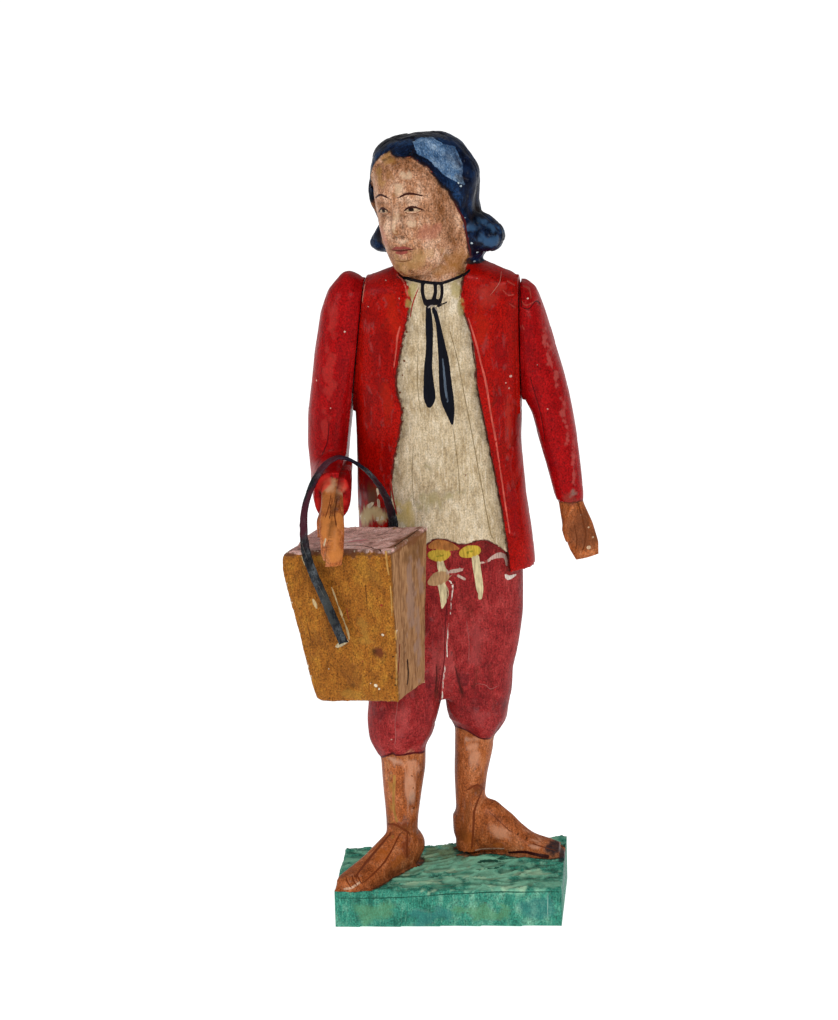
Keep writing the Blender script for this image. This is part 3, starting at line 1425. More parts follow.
    PAINTED = (
        # The line of the collar and the knot
        *strokes("#110e14",
            ((-7.1, 123.7, .46), (-5.5, 123.5, .5), (-2.6, 123.2, .59), (-0.2, 123, .63), (1.2, 123, .59),
                (3, 123.5, .59), (4.8, 124.1, .5), (6.1, 125, .46)),
            ((-2.4, 123.1, .67), (-2.5, 121.2, .67), (-2.1, 119.6, .75)),
            ((-0.1, 122.9, .67), (-0.1, 121.3, .67), (-0.5, 119.8, .75)),
            ((1.1, 122.7, .54), (1.1, 121, .59), (0.7, 119.4, .54), (0.3, 118.7, .42)),
            ((0.3, 118.6, .34), (1.9, 119.4, .29)), ((-1.8, 119.3, 1.17), (0, 119.5, 1.17)), relief=0.14),
        # The ribbon's two ends
        *strokes("#0c0e18",
            ((-1.5, 118.3, .96), (-1.4, 114.7, 1.38), (-1.5, 110.5, 1.3), (-1.8, 107.3, 1.51),
                (-1.8, 104.1, 1.93), (-1.7, 101.4, 2.26), (-1.8, 99.9, 1.05)),
            ((-0.4, 118.1, .92), (0.2, 115.6, .84), (0.6, 112.6, 1.22), (1.1, 108.4, 1.93),
                (1.3, 104.1, 2.35), (1.6, 101, 2.43), (2.1, 98.4, 1.55), (2.4, 96.3, .42)),
            relief=0.14),
        # The mushrooms on the belt
        *strokes("#b5733a",
            ((-2.1, 72.8, 1.13), (-0.9, 73.2, 1.89), (0.5, 73, 2.01), (1.9, 72.6, 1.38), (2.9, 72.3, .5))),
        *strokes("#d2c298",
            ((-0.5, 69.9, 1.13), (-0.3, 68.7, 1.51), (0.2, 67.6, 1.38)),
            ((-0.3, 65.3, 1.51), (0.1, 64, 1.76), (0, 62.4, 1.26), (-0.3, 60.9, .38)),
            ((6.1, 70.4, 1.38), (6.3, 68.5, 1.45), (6.6, 66.4, 1.38), (6.8, 64.4, 1.32), (6.9, 63.5, .88),
                (6.8, 62.6, .75))),
        *strokes("#b08a62", ((-2.4, 65.8, 1.13), (-1.1, 66.5, 2.51), (0.1, 67, 2.14))),
        *strokes("#c2a23a",
            ((-2, 71.1, 1.63), (-0.5, 71, 2.39), (0.9, 71.3, 1.26)),
            ((3.9, 71.4, 1.63), (4.9, 71.7, 2.39), (6.2, 71.8, 1.89)), relief=0.14),
        # Light dabs along the belt and at the coat's corner
        *strokes("#c7a79a",
            ((7.1, 69.4, .38), (8.3, 69.6, .5), (9.4, 70.2, .75), (10.5, 70.4, 1.13), (11.5, 69.9, .63),
                (11.8, 68.3, .3))),
        *strokes("#bfa596",
            ((0.9, 67.9, .5), (2.2, 68, .75), (3.7, 68.3, .5)), ((2.8, 67.1, .5), (4, 66.4, .5))),
        *strokes("#ddd0c4", ((11.5, 66.6, .25), (12.1, 65.8, .88), (13.3, 66, .38))),
        # The whites of the eyes and the lips
        *strokes("#c0a080",
            *both_sides(((2, -0.35, .3), (2.6, -0.2, .6), (3.4, -0.2, .7), (4.2, -0.4, .4))), frame=HEAD,
            beyond=(-12, -3)),
        *strokes("#964a40",
            ((-1.9, -7.25, .3), (-0.8, -7, .6), (0, -7.1, .55), (0.8, -7, .6), (1.9, -7.25, .3)),
            ((-1.2, -7.85, .4), (0, -7.95, .65), (1.2, -7.85, .4)), frame=HEAD, beyond=(-14, -4)),
    )
    TOUCHES = (
        # Shine on the ribbon and the knot
        *strokes("#5a6878", ((0.9, 109.2, .21), (1.1, 106.3, .34), (1.3, 103.1, .46), (1.7, 100.1, .29))),
        *strokes("#a59a90", ((-1.5, 118.4, .25), (-0.6, 118.8, .25), (0.3, 117.6, .21))),
        # The light line down the breeches
        *strokes("#e8ddd0",
            ((1, 66.2, .25), (1.7, 65.5, .31), (1.7, 64, .23), (1.4, 62, .18), (1.2, 59.5, .18)),
            ((0.8, 57.8, .2), (0.6, 55.5, .2), (0.4, 53.3, .2), (0.4, 51.1, .2), (0, 49.4, .26),
                (-0.5, 46.4, .2), (-0.8, 43.8, .2), (-1, 42, .3))),
        # The pupils
        *strokes("#1f120e",
            *both_sides(((2.9, -0.1, .7), (3.15, -0.15, .7))), frame=HEAD, beyond=(-12, -3)),
        # Light specks on the coat
        *dots("#d3a99a",
            (9.2, 108.7, .45), (13.3, 105, .45), (13, 102.7, .4), (12.4, 103.9, .25), (-9.5, 122.9, .3),
            (-6.9, 120, .28), (-12.8, 118.2, .28), (7.5, 123.7, .26), (-6.6, 96.4, .25), (12, 88, .25),
            (-12.6, 92.6, .25)),
        # The rubbed edges of the coat's front
        *strokes("#c8574a",
            ((5.9, 116.5, .2), (7.2, 111.9, .36), (8, 108.2, .3), (8.9, 104, .4), (9.5, 99, .3),
                (10.2, 94.6, .36), (11, 88, .26), (11.8, 81, .3), (12.6, 75, .2)),
            ((-6.8, 114.8, .3), (-7.4, 112.7, .36), (-7.6, 110.6, .3), (-8.2, 107, .2)),
            ((-7.4, 124, .2), (-6, 122.9, .3), (-5.2, 120.4, .25))),
        # Shade on the mushrooms' caps
        *strokes("#8d8426", ((-1, 70.9, .4), (0.1, 71.1, .4)), ((4.7, 71.5, .5), (5.6, 71.8, .3))),
        # Old glue on the coat behind the pail
        *strokes("#d6ccae",
            ((-13.9, 79.6, .8), (-13.1, 80.4, .5)), ((-12.2, 83.2, .5), (-12, 82.4, .4)),
            ((-12, 81.2, .5), (-11.9, 80, .6)), ((-15.7, 77.1, .7), (-14.8, 76.6, .5)),
            ((-12.4, 77.4, .8), (-11, 77.9, .6)), beyond=(-100, 3)),
        # Glue under the paint of the shoulder
        *strokes("#a83c32",
            ((13, 122.8, .2), (14.3, 121.9, .24)),
            ((12.2, 121.2, .2), (13.2, 120.2, .26), (14.5, 120.4, .2)),
            ((13.4, 118.6, .2), (14.4, 117.6, .26))),
        # Light and dark edges of the feet and a leg
        *strokes("#c9a184", ((-19.6, 7.6, .4), (-18, 8.2, .5), (-16.6, 9, .4)), beyond=(-15, -8)),
        *strokes("#b9947c", ((4.3, 9.5, .3), (7.1, 9.7, .36), (10, 10, .3)), beyond=(-3, 6)),
        *strokes("#a8793c", ((-10.5, 26.4, .57), (-10.9, 20.2, .5), (-10.3, 17.1, .4))),
        *strokes("#3a1414",
            ((10.8, 9.1, .5), (13.7, 9.5, .6), (15.7, 9.1, .6), (18.3, 8.6, .5)), beyond=(-4, 6)),
        # Dark specks on the shirt, a leg and a foot
        *dots("#7a4c30",
            (-5.7, 113.7, .45), (-6.3, 108.2, .5), (-7.3, 102.1, .45), (-6.7, 105.4, .35), (-6.7, 99.2, .4),
            (-0.9, 92, .3), (4.6, 86.5, .3), (-3, 88, .28)),
        *dots("#5e3018",
            (-7.3, 26.3, .4), (-7.1, 23.8, .35), (-7.1, 19.6, .4), (12.5, 12.9, .4), (14.2, 12, .4)),
        *dots("#c9a08c", (-10.7, 34.6, .35)),
        # Light specks on the hair
        *dots("#b7c4c8",
            (4.6, 141.6, .35), (5, 141, .4), (6.7, 130.3, .4), (7.6, 128.2, .4), (5.6, 135, .25),
            (6.9, 126.2, .35)),
    )
    LINES = (
        # The shadow beside the coat's edge
        *strokes("#4a1214",
            ((6.4, 111.5, .28), (6.6, 109, .22), (7.1, 106.9, .3), (7.2, 104.4, .22), (7.4, 102.2, .28),
                (8, 98.5, .22), (9, 92.6, .26), (10.2, 85, .2), (11.4, 78, .24))),
        # Cracks in the shirt
        *strokes("#84704c",
            ((2.4, 113.9, .14), (3.7, 108.3, .15), (4.3, 104.5, .13), (5.9, 94.7, .16), (7.4, 85, .14),
                (8.8, 76.2, .16), (9.4, 74.1, .13)),
            ((-3.6, 111, .1), (-3.9, 104, .12), (-3.4, 98, .1)),
            ((2.6, 95, .1), (3.3, 88, .12), (3.5, 82, .1)),
            ((-5, 92, .1), (-5.4, 86, .12), (-5.2, 81, .1))),
        # Red lines at the coat's front
        *strokes("#a03028",
            ((-9.5, 85.3, .32), (-9.2, 82, .32), (-8.6, 78.8, .3)),
            ((-3.4, 121.6, .2), (-4.4, 119, .25), (-4.9, 116.6, .2))),
        # Pale creases at the shoulders
        *strokes("#b86c5c",
            ((-13.5, 121.9, .2), (-13.9, 119.2, .2)),
            ((11.8, 124, .1), (11.6, 122.6, .14), (10.2, 120.8, .1))),
        # Creases of the breeches
        *strokes("#5c141a",
            ((0.75, 64.2, .18), (0.6, 61.8, .18), (0.2, 57.4, .2), (0, 54, .2), (-0.2, 50.4, .2),
                (-0.9, 46.4, .24), (-1.3, 43.8, .3), (-1.6, 41, .36), (-1.9, 38, .3)),
            ((-1.7, 49, .25), (-1.8, 46.5, .3), (-2.2, 43.7, .3)),
            ((1.9, 48.5, .25), (2.4, 45.7, .35), (2.8, 43.2, .3))),
        *strokes("#a0524e",
            ((6.1, 45.3, .18), (7.4, 45, .18), (8.3, 44, .18), (9.4, 44.4, .16)),
            ((-8.9, 44.3, .18), (-9.2, 42.8, .2), (-9.4, 40.7, .2), (-9.8, 38.3, .18), (-9.8, 35.4, .2),
                (-10, 33.8, .18)),
            ((4.2, 58, .14), (4.6, 54, .14), (4.4, 50.6, .14)), ((-6.2, 60, .14), (-6.6, 55, .14))),
        # The hems of the breeches
        *strokes("#531218",
            ((-13.4, 29.5, .5), (-12, 30.4, .55), (-10.7, 31.2, .6), (-9.9, 30.8, .5), (-6.7, 31.1, .55),
                (-4.8, 30.4, .5)),
            ((1, 34.6, .45), (3, 34.6, .5), (4.5, 33.8, .5), (6, 32.9, .55), (7.7, 32.5, .5),
                (9.1, 33.6, .45))),
        # The ankles, the toes and the creases of the feet
        *strokes("#6e3216",
            ((-12.7, 15.9, .35), (-11.3, 16.4, .5), (-10.1, 16.2, .5), (-8.1, 14.8, .35)),
            ((-19.2, 9.4, .25), (-18.2, 8.2, .2)), ((-18.2, 9.8, .25), (-17.2, 8.6, .2)),
            ((-17.2, 10, .25), (-16.3, 8.8, .2)), ((-11.6, 14.6, .3), (-14.6, 12, .4), (-17.5, 9.8, .25)),
            ((-9.8, 14.6, .3), (-12.1, 11.2, .4), (-14.7, 9.5, .3), (-16, 8.8, .2)),
            ((-8.4, 14.9, .25), (-8.4, 12.6, .35), (-8.4, 10.3, .25)),
            ((3.2, 22.1, .3), (4.9, 23, .4), (6.3, 21.4, .3)),
            ((5.7, 21.3, .3), (4.3, 17.8, .5), (4.1, 15.1, .5), (3.6, 10.1, .35)),
            ((4.7, 11.4, .12), (5.1, 11.8, .12), (5.5, 11.3, .12), (5.1, 10.8, .12), (4.7, 11.3, .12)),
            ((7.4, 17, .15), (9, 15.5, .15), (11, 13.6, .15)), ((15.6, 11, .2), (19.6, 9.6, .15)),
            ((16, 12, .15), (20, 10.5, .15))),
        # Lines on the plinth
        *strokes("#1c4a3c",
            ((5, 8.4, .3), (7.8, 8.4, .35), (10, 8.6, .3)),
            ((-20.4, 5.9, .1), (-12, 5.9, .2), (-5, 6.2, .12), (-0.1, 6.6, .26), (3.7, 6.7, .17),
                (9.9, 7, .26), (14.4, 6.9, .2), (21, 6.9, .12)),
            beyond=(-100, 6)),
        *strokes("#8cb4a4", ((19, 6.5, .1), (18.9, 4.3, .16), (18.9, 1.6, .1)), beyond=(-100, 6)),
        # The lids, the brows and the mouth
        *strokes("#3a1a12",
            *both_sides(
                ((1.9, -0.15, .3), (2.6, 0.25, .45), (3.5, 0.3, .45), (4.7, -0.35, .3)),
                ((1.5, 2.4, .36), (3.1, 2.85, .5), (5, 2.2, .3))
            ),
            frame=HEAD, beyond=(-14, -3)),
        *strokes("#7c4a2a",
            *both_sides(((2, -0.75, .12), (3.2, -1, .16), (4.5, -0.6, .12))),
            ((1.5, -4.4, .16), (1.8, -5.2, .14)), ((-1.5, -9.4, .12), (0, -9.6, .16), (1.5, -9.4, .12)),
            frame=HEAD, beyond=(-14, -3)),
        *strokes("#571a1c",
            ((-2.2, -7.4, .2), (0, -7.55, .26), (2.2, -7.4, .2)), frame=HEAD, beyond=(-14, -4)),
        # The hair's edge before the ear
        *strokes("#4d1518",
            ((8.3, -0.4, .2), (8.9, -2.4, .26), (9.2, -4.2, .3), (9.35, -6.3, .3), (9.1, -8.8, .3),
                (8.5, -10.3, .25)),
            frame=HEAD, beyond=(-9, 2)),
    )
    STAINS = (
        # Yellowed paint of the collar and the shirt
        *patches("#a09050",
            (-4.4, 121.2, .9, 1.4), (-5, 118.6, .7, 1.2), (3.6, 121.6, 1.2, 1.8), (4.4, 118.4, .7, 1.4),
            strength=0.6, ragged=1.2),
        *patches("#bfa65c",
            (-7.4, 80.4, 1.6, 1), (-6.6, 78.2, 1.6, 1.4), (-5, 77, 1.4, 0.8), strength=0.6, ragged=1.3),
        *patches("#8f855a",
            (-1.8, 82.3, 3.2, 0.9), (-2.6, 80.6, 2.4, 0.7), (2.2, 83.2, 2.6, 0.3), (-1, 88.4, 1.8, 0.3),
            strength=0.55, ragged=1.3),
        # Lighter and darker reds of the coat
        *patches("#a8240e",
            (-7.9, 117.1, 1.6, 4), (8.2, 114.7, 1.4, 4), (-9.6, 100, 1.2, 4), strength=0.4, ragged=1),
        *patches("#aa3428",
            (9, 120.2, 1.6, 1.8), (10.6, 122, 1.8, 1.2), (12.8, 96, 0.8, 6), strength=0.45, ragged=1),
        *patches("#6a0404", (-11.4, 117.4, 2.6, 4), (-10, 112, 2, 4), strength=0.4, ragged=1),
        *patches("#5e060a",
            (-11.6, 108.2, 1.2, 5), (-13.4, 100, 1, 5), (-10.2, 90, 1, 5), (13.8, 91, 0.8, 6), strength=0.4,
            ragged=1),
        *patches("#780812",
            (11.4, 110, 1.6, 4), (10.8, 99, 0.9, 4), (13.4, 80, 1, 5), (-11.6, 121.2, 2.6, 1.2),
            strength=0.4, ragged=1),
        # Glue, bare wood and shadow behind the pail
        *patches("#c2b284",
            (-14.6, 77.4, 1.3), (-13.4, 77.9, 1.3), (-12.1, 78.2, 1.3), (-10.9, 78.1, 0.9), y=-1,
            strength=0.85, ragged=1.3),
        *patches("#5f3a22", (-13.3, 83.1, 1.3), (-13.4, 81.7, 1.45), (-13.6, 80.5, 1), y=-1, strength=0.85),
        *patches("#6e0c18", (-13.8, 84.7, 1.2), (-15, 82, 1.2), y=-1, strength=0.8),
        *patches("#8d8490", (-16.6, 79.5, 1.1), (-16.6, 82.5, 1), (-16.7, 76.5, 1), y=-0.5, strength=0.8),
        # Darker and lighter reds of the breeches
        *patches("#47121a",
            (-2.4, 46, 1.6), (3, 46, 1.6), (-12.6, 40, 1.5), (-3.4, 58, 1.6), (10.6, 40, 1.6),
            strength=0.45, ragged=1),
        *patches("#a14a48",
            (-7, 49, 1.4, 4), (0, 50, 2, 5), (6, 53, 1.6, 5), (-8.4, 38, 1.4, 3), (5.8, 38.6, 1.6, 2.6),
            strength=0.35, ragged=1),
        # Paler and browner skin of the legs and feet
        *patches("#c39c84",
            (-9.8, 29.6, 1.8, 1), (3.4, 31.4, 1, 1.8), (-7.6, 23, 1, 4), strength=0.55, ragged=1),
        *patches("#a87a3a", (-11.4, 22, 0.8, 6), (2.6, 27, 1, 3), strength=0.6, ragged=1),
        *patches("#c88e6e",
            (10.4, 13.4, 3.2, 1.7), (15.4, 10.9, 2, 0.8), (-17.2, 9.4, 1.4, 0.7), (4.6, 29, 1.4, 3),
            (-7.4, 26, 1.2, 3.6), y=-2, deep=9, strength=0.65, ragged=1.2),
        *patches("#a2561e",
            (-13, 12.2, 2, 1), (-9.4, 10.4, 1.4, 1.4), (3.2, 12.6, 1.2, 3.6), (8, 10.6, 2.4, 0.7),
            (6.2, 26, 0.9, 4), y=-2, deep=9, strength=0.55, ragged=1.1),
        *patches("#70301a",
            (-10.4, 16.2, 2.4, 0.6), (4.8, 22.6, 1.5, 0.5), (-8.6, 12.6, 0.7, 2.2), y=0, deep=9,
            strength=0.65, ragged=1),
        *patches("#6c3a18",
            (3, 17.8, 0.8, 2.6), (2, 13, 1, 2.2), (-8.8, 15.6, 2.2, 0.7), (4.4, 21.6, 1.4, 0.8), y=2,
            deep=8, strength=0.6, ragged=1),
        # The dark toes
        *patches("#141a24", (18.3, 9.9, .75), (19.8, 10, 1.3), (21, 8.5, 1.1), y=4, deep=4, strength=0.9),
        # Greens of the plinth
        *patches("#7c8258",
            (-4.7, 7.4, 2.4), (-1.4, 7.4, 2), (3, 7.4, 1.8), y=5, strength=0.6, area="at_ground"),
        *patches("#2f6e6c", (16.6, 4, 3.4, 3), (-4, 2, 4, 1.4), strength=0.55, y=-14, deep=8, ragged=1.2),
        *patches("#5c8a5e", (-14, 3, 3.4, 2.2), (6, 2.6, 4, 1.6), strength=0.5, y=-14, deep=8, ragged=1.2),
        *(
            Stain("#7cb698", (x, y, 8.4), (7.5, 5, 1.6), 0.7, 1.1, area="at_ground")
            for x, y in (
                (-13, -2), (-3, -8), (7, -10), (15, -8), (-15, 4), (15, 10), (-2, 0), (5, -3)
            )
        ),
        *patches("#7c8c8c", (23.2, 4, 1.1, 5), y=0, deep=40, ragged=0.8),
        *(
            Stain("#a8c8a4", (x, y, 8.4), (4.6, 1, 1.8), 0.6, 1.4, area="at_ground")
            for x, y in (
                (-12, -3.4), (-4, -8.6), (1, -13), (5.4, -6.4), (11, -11), (-1.4, -3), (15, -4.6), (12, 4),
                (-6, 5)
            )
        ),
        *(
            Stain("#2a6450", (x, y, 8), (3.4, 0.6, 1.4), 0.5, 1.3, area="at_ground")
            for x, y in (
                (-9, -5.4), (-2, -10.6), (4, -9.6), (8, -8.4), (14, -13), (3, -4.4), (18, -7.6), (-14, -9.4)
            )
        ),
        # Browner and paler places of the face
        *patches("#8a5a2c",
            (-0.5, 8.6, 1), (-0.6, 6.4, .9), (0.7, 3, .6), (0.2, -1, .7), (0, -3.9, .8), (-1.9, -10.6, 1.2),
            (2.4, -10.4, 1.6, 0.9), y=-9, frame=HEAD, strength=0.5, ragged=1.3),
        *patches("#b48e5c",
            (0.4, -10, 3.6, 1.3), (3.8, -8.6, 1.8, 1.2), y=-8.5, frame=HEAD, strength=0.35, ragged=1.4),
        *patches("#b8705e", (4.6, -4.6, 1.7), (-4.6, -4.6, 1.7), y=-7, frame=HEAD, strength=0.4, ragged=1),
        *patches("#dcc0a0",
            (1, 4.4, 1.3, 1.1), (2.6, 6, 1.2, .7), (0.1, -2.2, .5, 1.7), (2.8, -2.6, 1, .6),
            (0.9, -5.9, .8, .4), y=-9, frame=HEAD, strength=0.5, ragged=1.4),
        *patches("#a07838",
            (-2.9, 6.6, 1.5, 2.6), (-1.4, 9, 1, 0.9), y=-8, frame=HEAD, strength=0.45, ragged=1.4),
        *patches("#946028", (7.2, -11, 2), (5.4, -12.4, 2.4, 1), y=-3, frame=HEAD, strength=0.6, ragged=1),
        # Blues and blacks of the hair
        *patches("#3a5a7c",
            (10.4, -5.2, 1.9, 1.3), (12.4, -7, 1.5, 1.5), y=1, frame=HEAD, strength=0.65, ragged=1.5),
        *patches("#06081a",
            (9.4, -8.6, 1.5, 1.8), (11.4, -9.6, 1.8, 0.8), y=1, deep=4, frame=HEAD, strength=0.8,
            ragged=1.2, area="at_hair"),
        *patches("#142848",
            (8.6, 3.6, 2.2), (6.8, 8, 2), y=2, deep=3.6, frame=HEAD, ragged=1.2),
        *patches("#04060e",
            (-3.8, 10.6, 3.2), (-7, 8, 2.4), (1, 12.6, 5, 1.4), y=-1, deep=5, frame=HEAD, strength=0.85,
            area="at_hair"),
        *patches("#06081a", (10.2, 3.4, 1.2, 4), y=2, frame=HEAD, strength=0.6),
        *patches("#06070f",
            (9.4, -3.2, 2.2), (9, -8.6, 2), y=3.2, deep=3.4, frame=HEAD, strength=0.85, ragged=0.4,
            area="at_hair"),
    )

    def free(self, skin: Skin) -> Array:
        """Less on the face, the feet and the toes."""
        local = HEAD.local(skin.points)
        face = fade(-1.5, -3.0, local[:, 1]) * fade(-13.5, -12.5, local[:, 2]) * fade(11, 10, local[:, 2])
        low = fade(18, 15, skin.points[:, 2])
        return 1.0 - 0.86 * face - 0.55 * low

    def carve(self, skin: Skin) -> None:
        """Cuts the figure's fine relief."""
        noise, p = self.noise, skin.points
        self.warp_hems(skin)
        self.cut_facet(skin)
        area = self.areas(p)
        local = HEAD.local(p)
        hair, ground = fade(-0.3, 0.6, area["at_hair"]), fade(-0.1, 0.3, area["at_ground"])
        cloth = fade(0, 0.6, np.minimum(p[:, 2] - 30, 126 - p[:, 2]))
        facet = fade(-0.2, 0.6, area["at_facet"])
        height = 0.12 * noise.soft(p, (6, 6, 9)) * (1 - fade(-0.5, 0.5, area["at_face"]))
        height += self.KNIFE.height(noise, p) * cloth * (1 - hair)
        strands = self.LOCKS.height(noise, local) + 0.1 * noise.rough(local, (1.1, 1.1, 5.0))
        height += strands * hair * (1 - facet)
        top = fade(0.35, 0.8, skin.normals()[:, 2])
        furrows = self.GOUGE.height(noise, p @ np.array(self.GOUGE_TURN))
        height += (furrows + 0.16 * noise.rough(p, (3.4, 1.2, 1.8))) * ground * top
        height += 0.08 * (1 - top) * ground * noise.rough(p, (2.2, 1.4, 0.9)) + 0.25 * ground * (1 - top)
        height += self.swell(local) * hair * (1 - 0.9 * facet)
        height += self.creases(p)
        skin.move(height)
        self.features(skin)
        self.groove_marks(skin)

    def swell(self, local: Array) -> Array:
        """How far the hair stands out more than in the solid, by places of the head."""
        return sum(
            height * bell((local[:, 0] - x) / wide, (local[:, 1] - y) / wide, (local[:, 2] - z) / tall)
            for x, y, z, wide, tall, height in self.SWELLS
        )

    def creases(self, points: Array) -> Array:
        """The shallow folds of the breeches and of the coat over the glue at the shoulder."""
        x, y, z = points.T
        legs = fade(66, 60, z) * fade(31, 36, z)
        fold = 0.0
        for x0, z0, lean, deep in self.FOLDS:
            off = (x - x0 - lean * (z - z0)) / 0.55
            fold = fold - deep * bell(off, (z - z0) / 7) * fade(4, 2, y)
        knobs = sum(0.7 * bell((x - a) / 1.2, (z - b) / 1.1) for a, b in self.KNOBS)
        return fold * legs + knobs * fade(6, 3, y)

    def features(self, skin: Skin) -> None:
        """Cuts the lids, the mouth and the wings of the nose into the plain face."""
        local = HEAD.local(skin.points)
        x, y, z = np.abs(local[:, 0]), local[:, 1], local[:, 2]
        height = sum(
            out * bell((x - aside) / wide, (z - level) / tall)
            for out, aside, wide, level, tall in self.FEATURES
        )
        skin.move(height * fade(-3.5, -5.5, y))

    def warp_hems(self, skin: Skin) -> None:
        """Moves the steps under the shirt and the breeches to where their painted hems run."""
        x, y, z = skin.points.T
        hem = np.asarray(self.HEM)
        now = 73.0 + 0.7 * np.sin(x * 0.85 + 0.6)
        near = bell((z - now) / 5.0) * fade(3.0, 1.0, y)
        inside = fade(-0.6, 0.6, inside_outline(skin.points[:, [0, 2]], curve_through(self.OPENING)))
        rise = (np.interp(x, hem[:, 0], hem[:, 1]) - now) * near * inside
        step = np.where(x < self.BETWEEN_LEGS, *self.LEG_STEPS)
        rise += (self.leg_hem(x, y) - step) * bell((z - step) / 3.5)
        skin.points[:, 2] = z + rise

    def leg_hem(self, x: Array, y: Array) -> Array:
        """Where the breeches end: as painted in front, level behind."""
        painted = np.interp(x, *np.asarray(self.LEG_HEMS).T)
        level = np.where(x < self.BETWEEN_LEGS, *self.LEG_STEPS)
        return painted + (level - painted) * fade(4.0, 7.0, y)

    def cut_facet(self, skin: Skin) -> None:
        """Cuts the large flat facet on the hair over the forehead."""
        place, normal = (np.array(value) for value in self.FACET_PLANE)
        out = (skin.points - place) @ normal
        near = (out > 0.2) & (np.linalg.norm(skin.points - place, axis=1) < 8)
        near &= HEAD.local(skin.points)[:, 1] > -11
        skin.points[near] -= (out[near, None] - 0.2) * normal

    def areas(self, points: Array) -> dict[str, Array]:
        """How far points lie inside each area of paint."""
        x, y, z = points.T
        local = HEAD.local(points)
        flat = points[:, [0, 2]]
        opening = inside_outline(flat, curve_through(self.OPENING)) - 0.12
        hem = np.interp(x, *np.asarray(self.HEM).T)
        collar = np.interp(x, *np.asarray(self.COLLAR).T)
        in_front = np.minimum(opening, 2.2 - y)
        shirt = np.min([in_front, z - hem, collar + 0.2 - z], axis=0)
        hips = np.maximum(self.SKIRT_FOOT - z, np.minimum(in_front, hem - z))
        leg_hem = self.leg_hem(x, y)
        breeches = np.minimum(hips, z - leg_hem)
        feet = np.max([form.inside(points) for form in (*self.FEET, *self.CALVES)], axis=0)
        ground = np.where(z < self.PLINTH_TOP, 7.6 - z, np.minimum(-feet - 0.75, 11.5 - z))
        coat = self.COAT.inside(points)
        outline = inside_outline(local[:, [0, 2]], curve_through(self.FACE_EDGE))
        depth = np.interp(local[:, 2], *np.asarray(self.FACE_DEPTH).T)
        face = np.min([outline, depth - local[:, 1], z - 121, -coat - 0.35, local[:, 2] + 13.4], axis=0)
        middle, radius = self.NECK
        round_neck = radius - np.hypot(x - middle[0], y - middle[1])
        neck = np.min([round_neck, z - collar, 3.0 - y, 128.0 - z], axis=0)
        face = np.maximum(face, neck)
        curls = np.max([curl.inside(local) for curl in self.CURLS], axis=0)
        cap = np.maximum(self.CAP.inside(local), curls)
        hair = np.min([cap - coat + 0.2, -face, z - 121.5], axis=0)
        place, normal = (np.array(value) for value in self.FACET_PLANE)
        near = 0.85 - np.abs((points - place) @ normal - 0.1)
        facet = np.minimum(inside_outline(flat, np.asarray(self.FACET)), near)
        return {
            "at_shirt": shirt,
            "at_breeches": breeches,
            "at_limb": leg_hem - z,
            "at_ground": ground,
            "at_face": face,
            "at_hair": hair,
            "at_facet": np.minimum(facet, hair),
        }

    def detail(self, skin: Skin) -> Array:
        """Small faces along the edges of paint and on the face."""
        local = HEAD.local(skin.points)
        face = fade(-2.0, -3.0, local[:, 1]) * fade(-14, -12, local[:, 2])
        return np.maximum(super().detail(skin), 0.9 * face)

    def hold(self, skin: Skin) -> None:
        """Keeps the points in the box and flat along the seams."""
        for seam in SEAMS:
            seam.snap(skin, -1)
        super().hold(skin)

    def material(self) -> bpy.types.Material:
        """Coat red under shirt, breeches, skin, ground and hair."""
        box = PaintBox("old_paint_on_the_figure")
        box.lay(PaintArea(Coatings.COAT))
        box.lay(PaintArea(Coatings.SHIRT, "at_shirt", 0.85, "#4e1512", 0.9))
        box.lay(PaintArea(Coatings.BREECHES, "at_breeches", 0.25, "#3a1014", 0.6))
        box.lay(PaintArea(Coatings.LIMB, "at_limb", 0.4))
        box.lay(PaintArea(Coatings.GROUND, "at_ground", 0.5, "#1d2a20", 0.85))
        box.lay(PaintArea(Coatings.FACE, "at_face", 0.4))
        box.lay(PaintArea(Coatings.HAIR, "at_hair", 0.35, "#120b14", 0.95))
        box.lay(PaintArea(Coatings.FACET, "at_facet", 0.5))
        box.stains()
        box.marks()
        box.age(0.17, 0.6)
        return box.finish()


@dataclass
class Arm(Carving):
    """One of the arms: a sleeve and a hand."""

    SEAM: ClassVar[GlueSeam]
    KNIFE = ToolMarks((4, 4, 6), 0.07, -0.03)

    def areas(self, points: Array) -> dict[str, Array]:
        """The bare hand; the rest is sleeve."""
        return {"at_limb": self.at_hand(points)}

    def at_hand(self, points: Array) -> Array:
        """How far points lie inside the bare hand."""
        raise NotImplementedError

    def carve(self, skin: Skin) -> None:
        """Makes the sleeve a little uneven."""
        noise, p = self.noise, skin.points
        sleeve = fade(0.3, -0.3, self.at_hand(p))
        skin.move((0.1 * noise.soft(p, (5, 5, 8)) + self.KNIFE.height(noise, p)) * sleeve)
        self.groove_marks(skin)

    def free(self, skin: Skin) -> Array:
        """Less on the hand."""
        return 1.0 - 0.6 * fade(-0.3, 0.3, self.at_hand(skin.points))

    def hold(self, skin: Skin) -> None:
        """Keeps the points in the box and flat along the seam."""
        self.SEAM.snap(skin, 1)
        super().hold(skin)

    def material(self) -> bpy.types.Material:
        """Sleeve red with a bare hand."""
        box = PaintBox("old_paint_on_" + self.node)
        box.lay(PaintArea(Coatings.SLEEVE))
        box.lay(PaintArea(Coatings.LIMB, "at_limb", 0.3, "#3a1210", 0.7))
        box.stains()
        box.marks()
        box.age(0.18, 0.5)
        return box.finish()


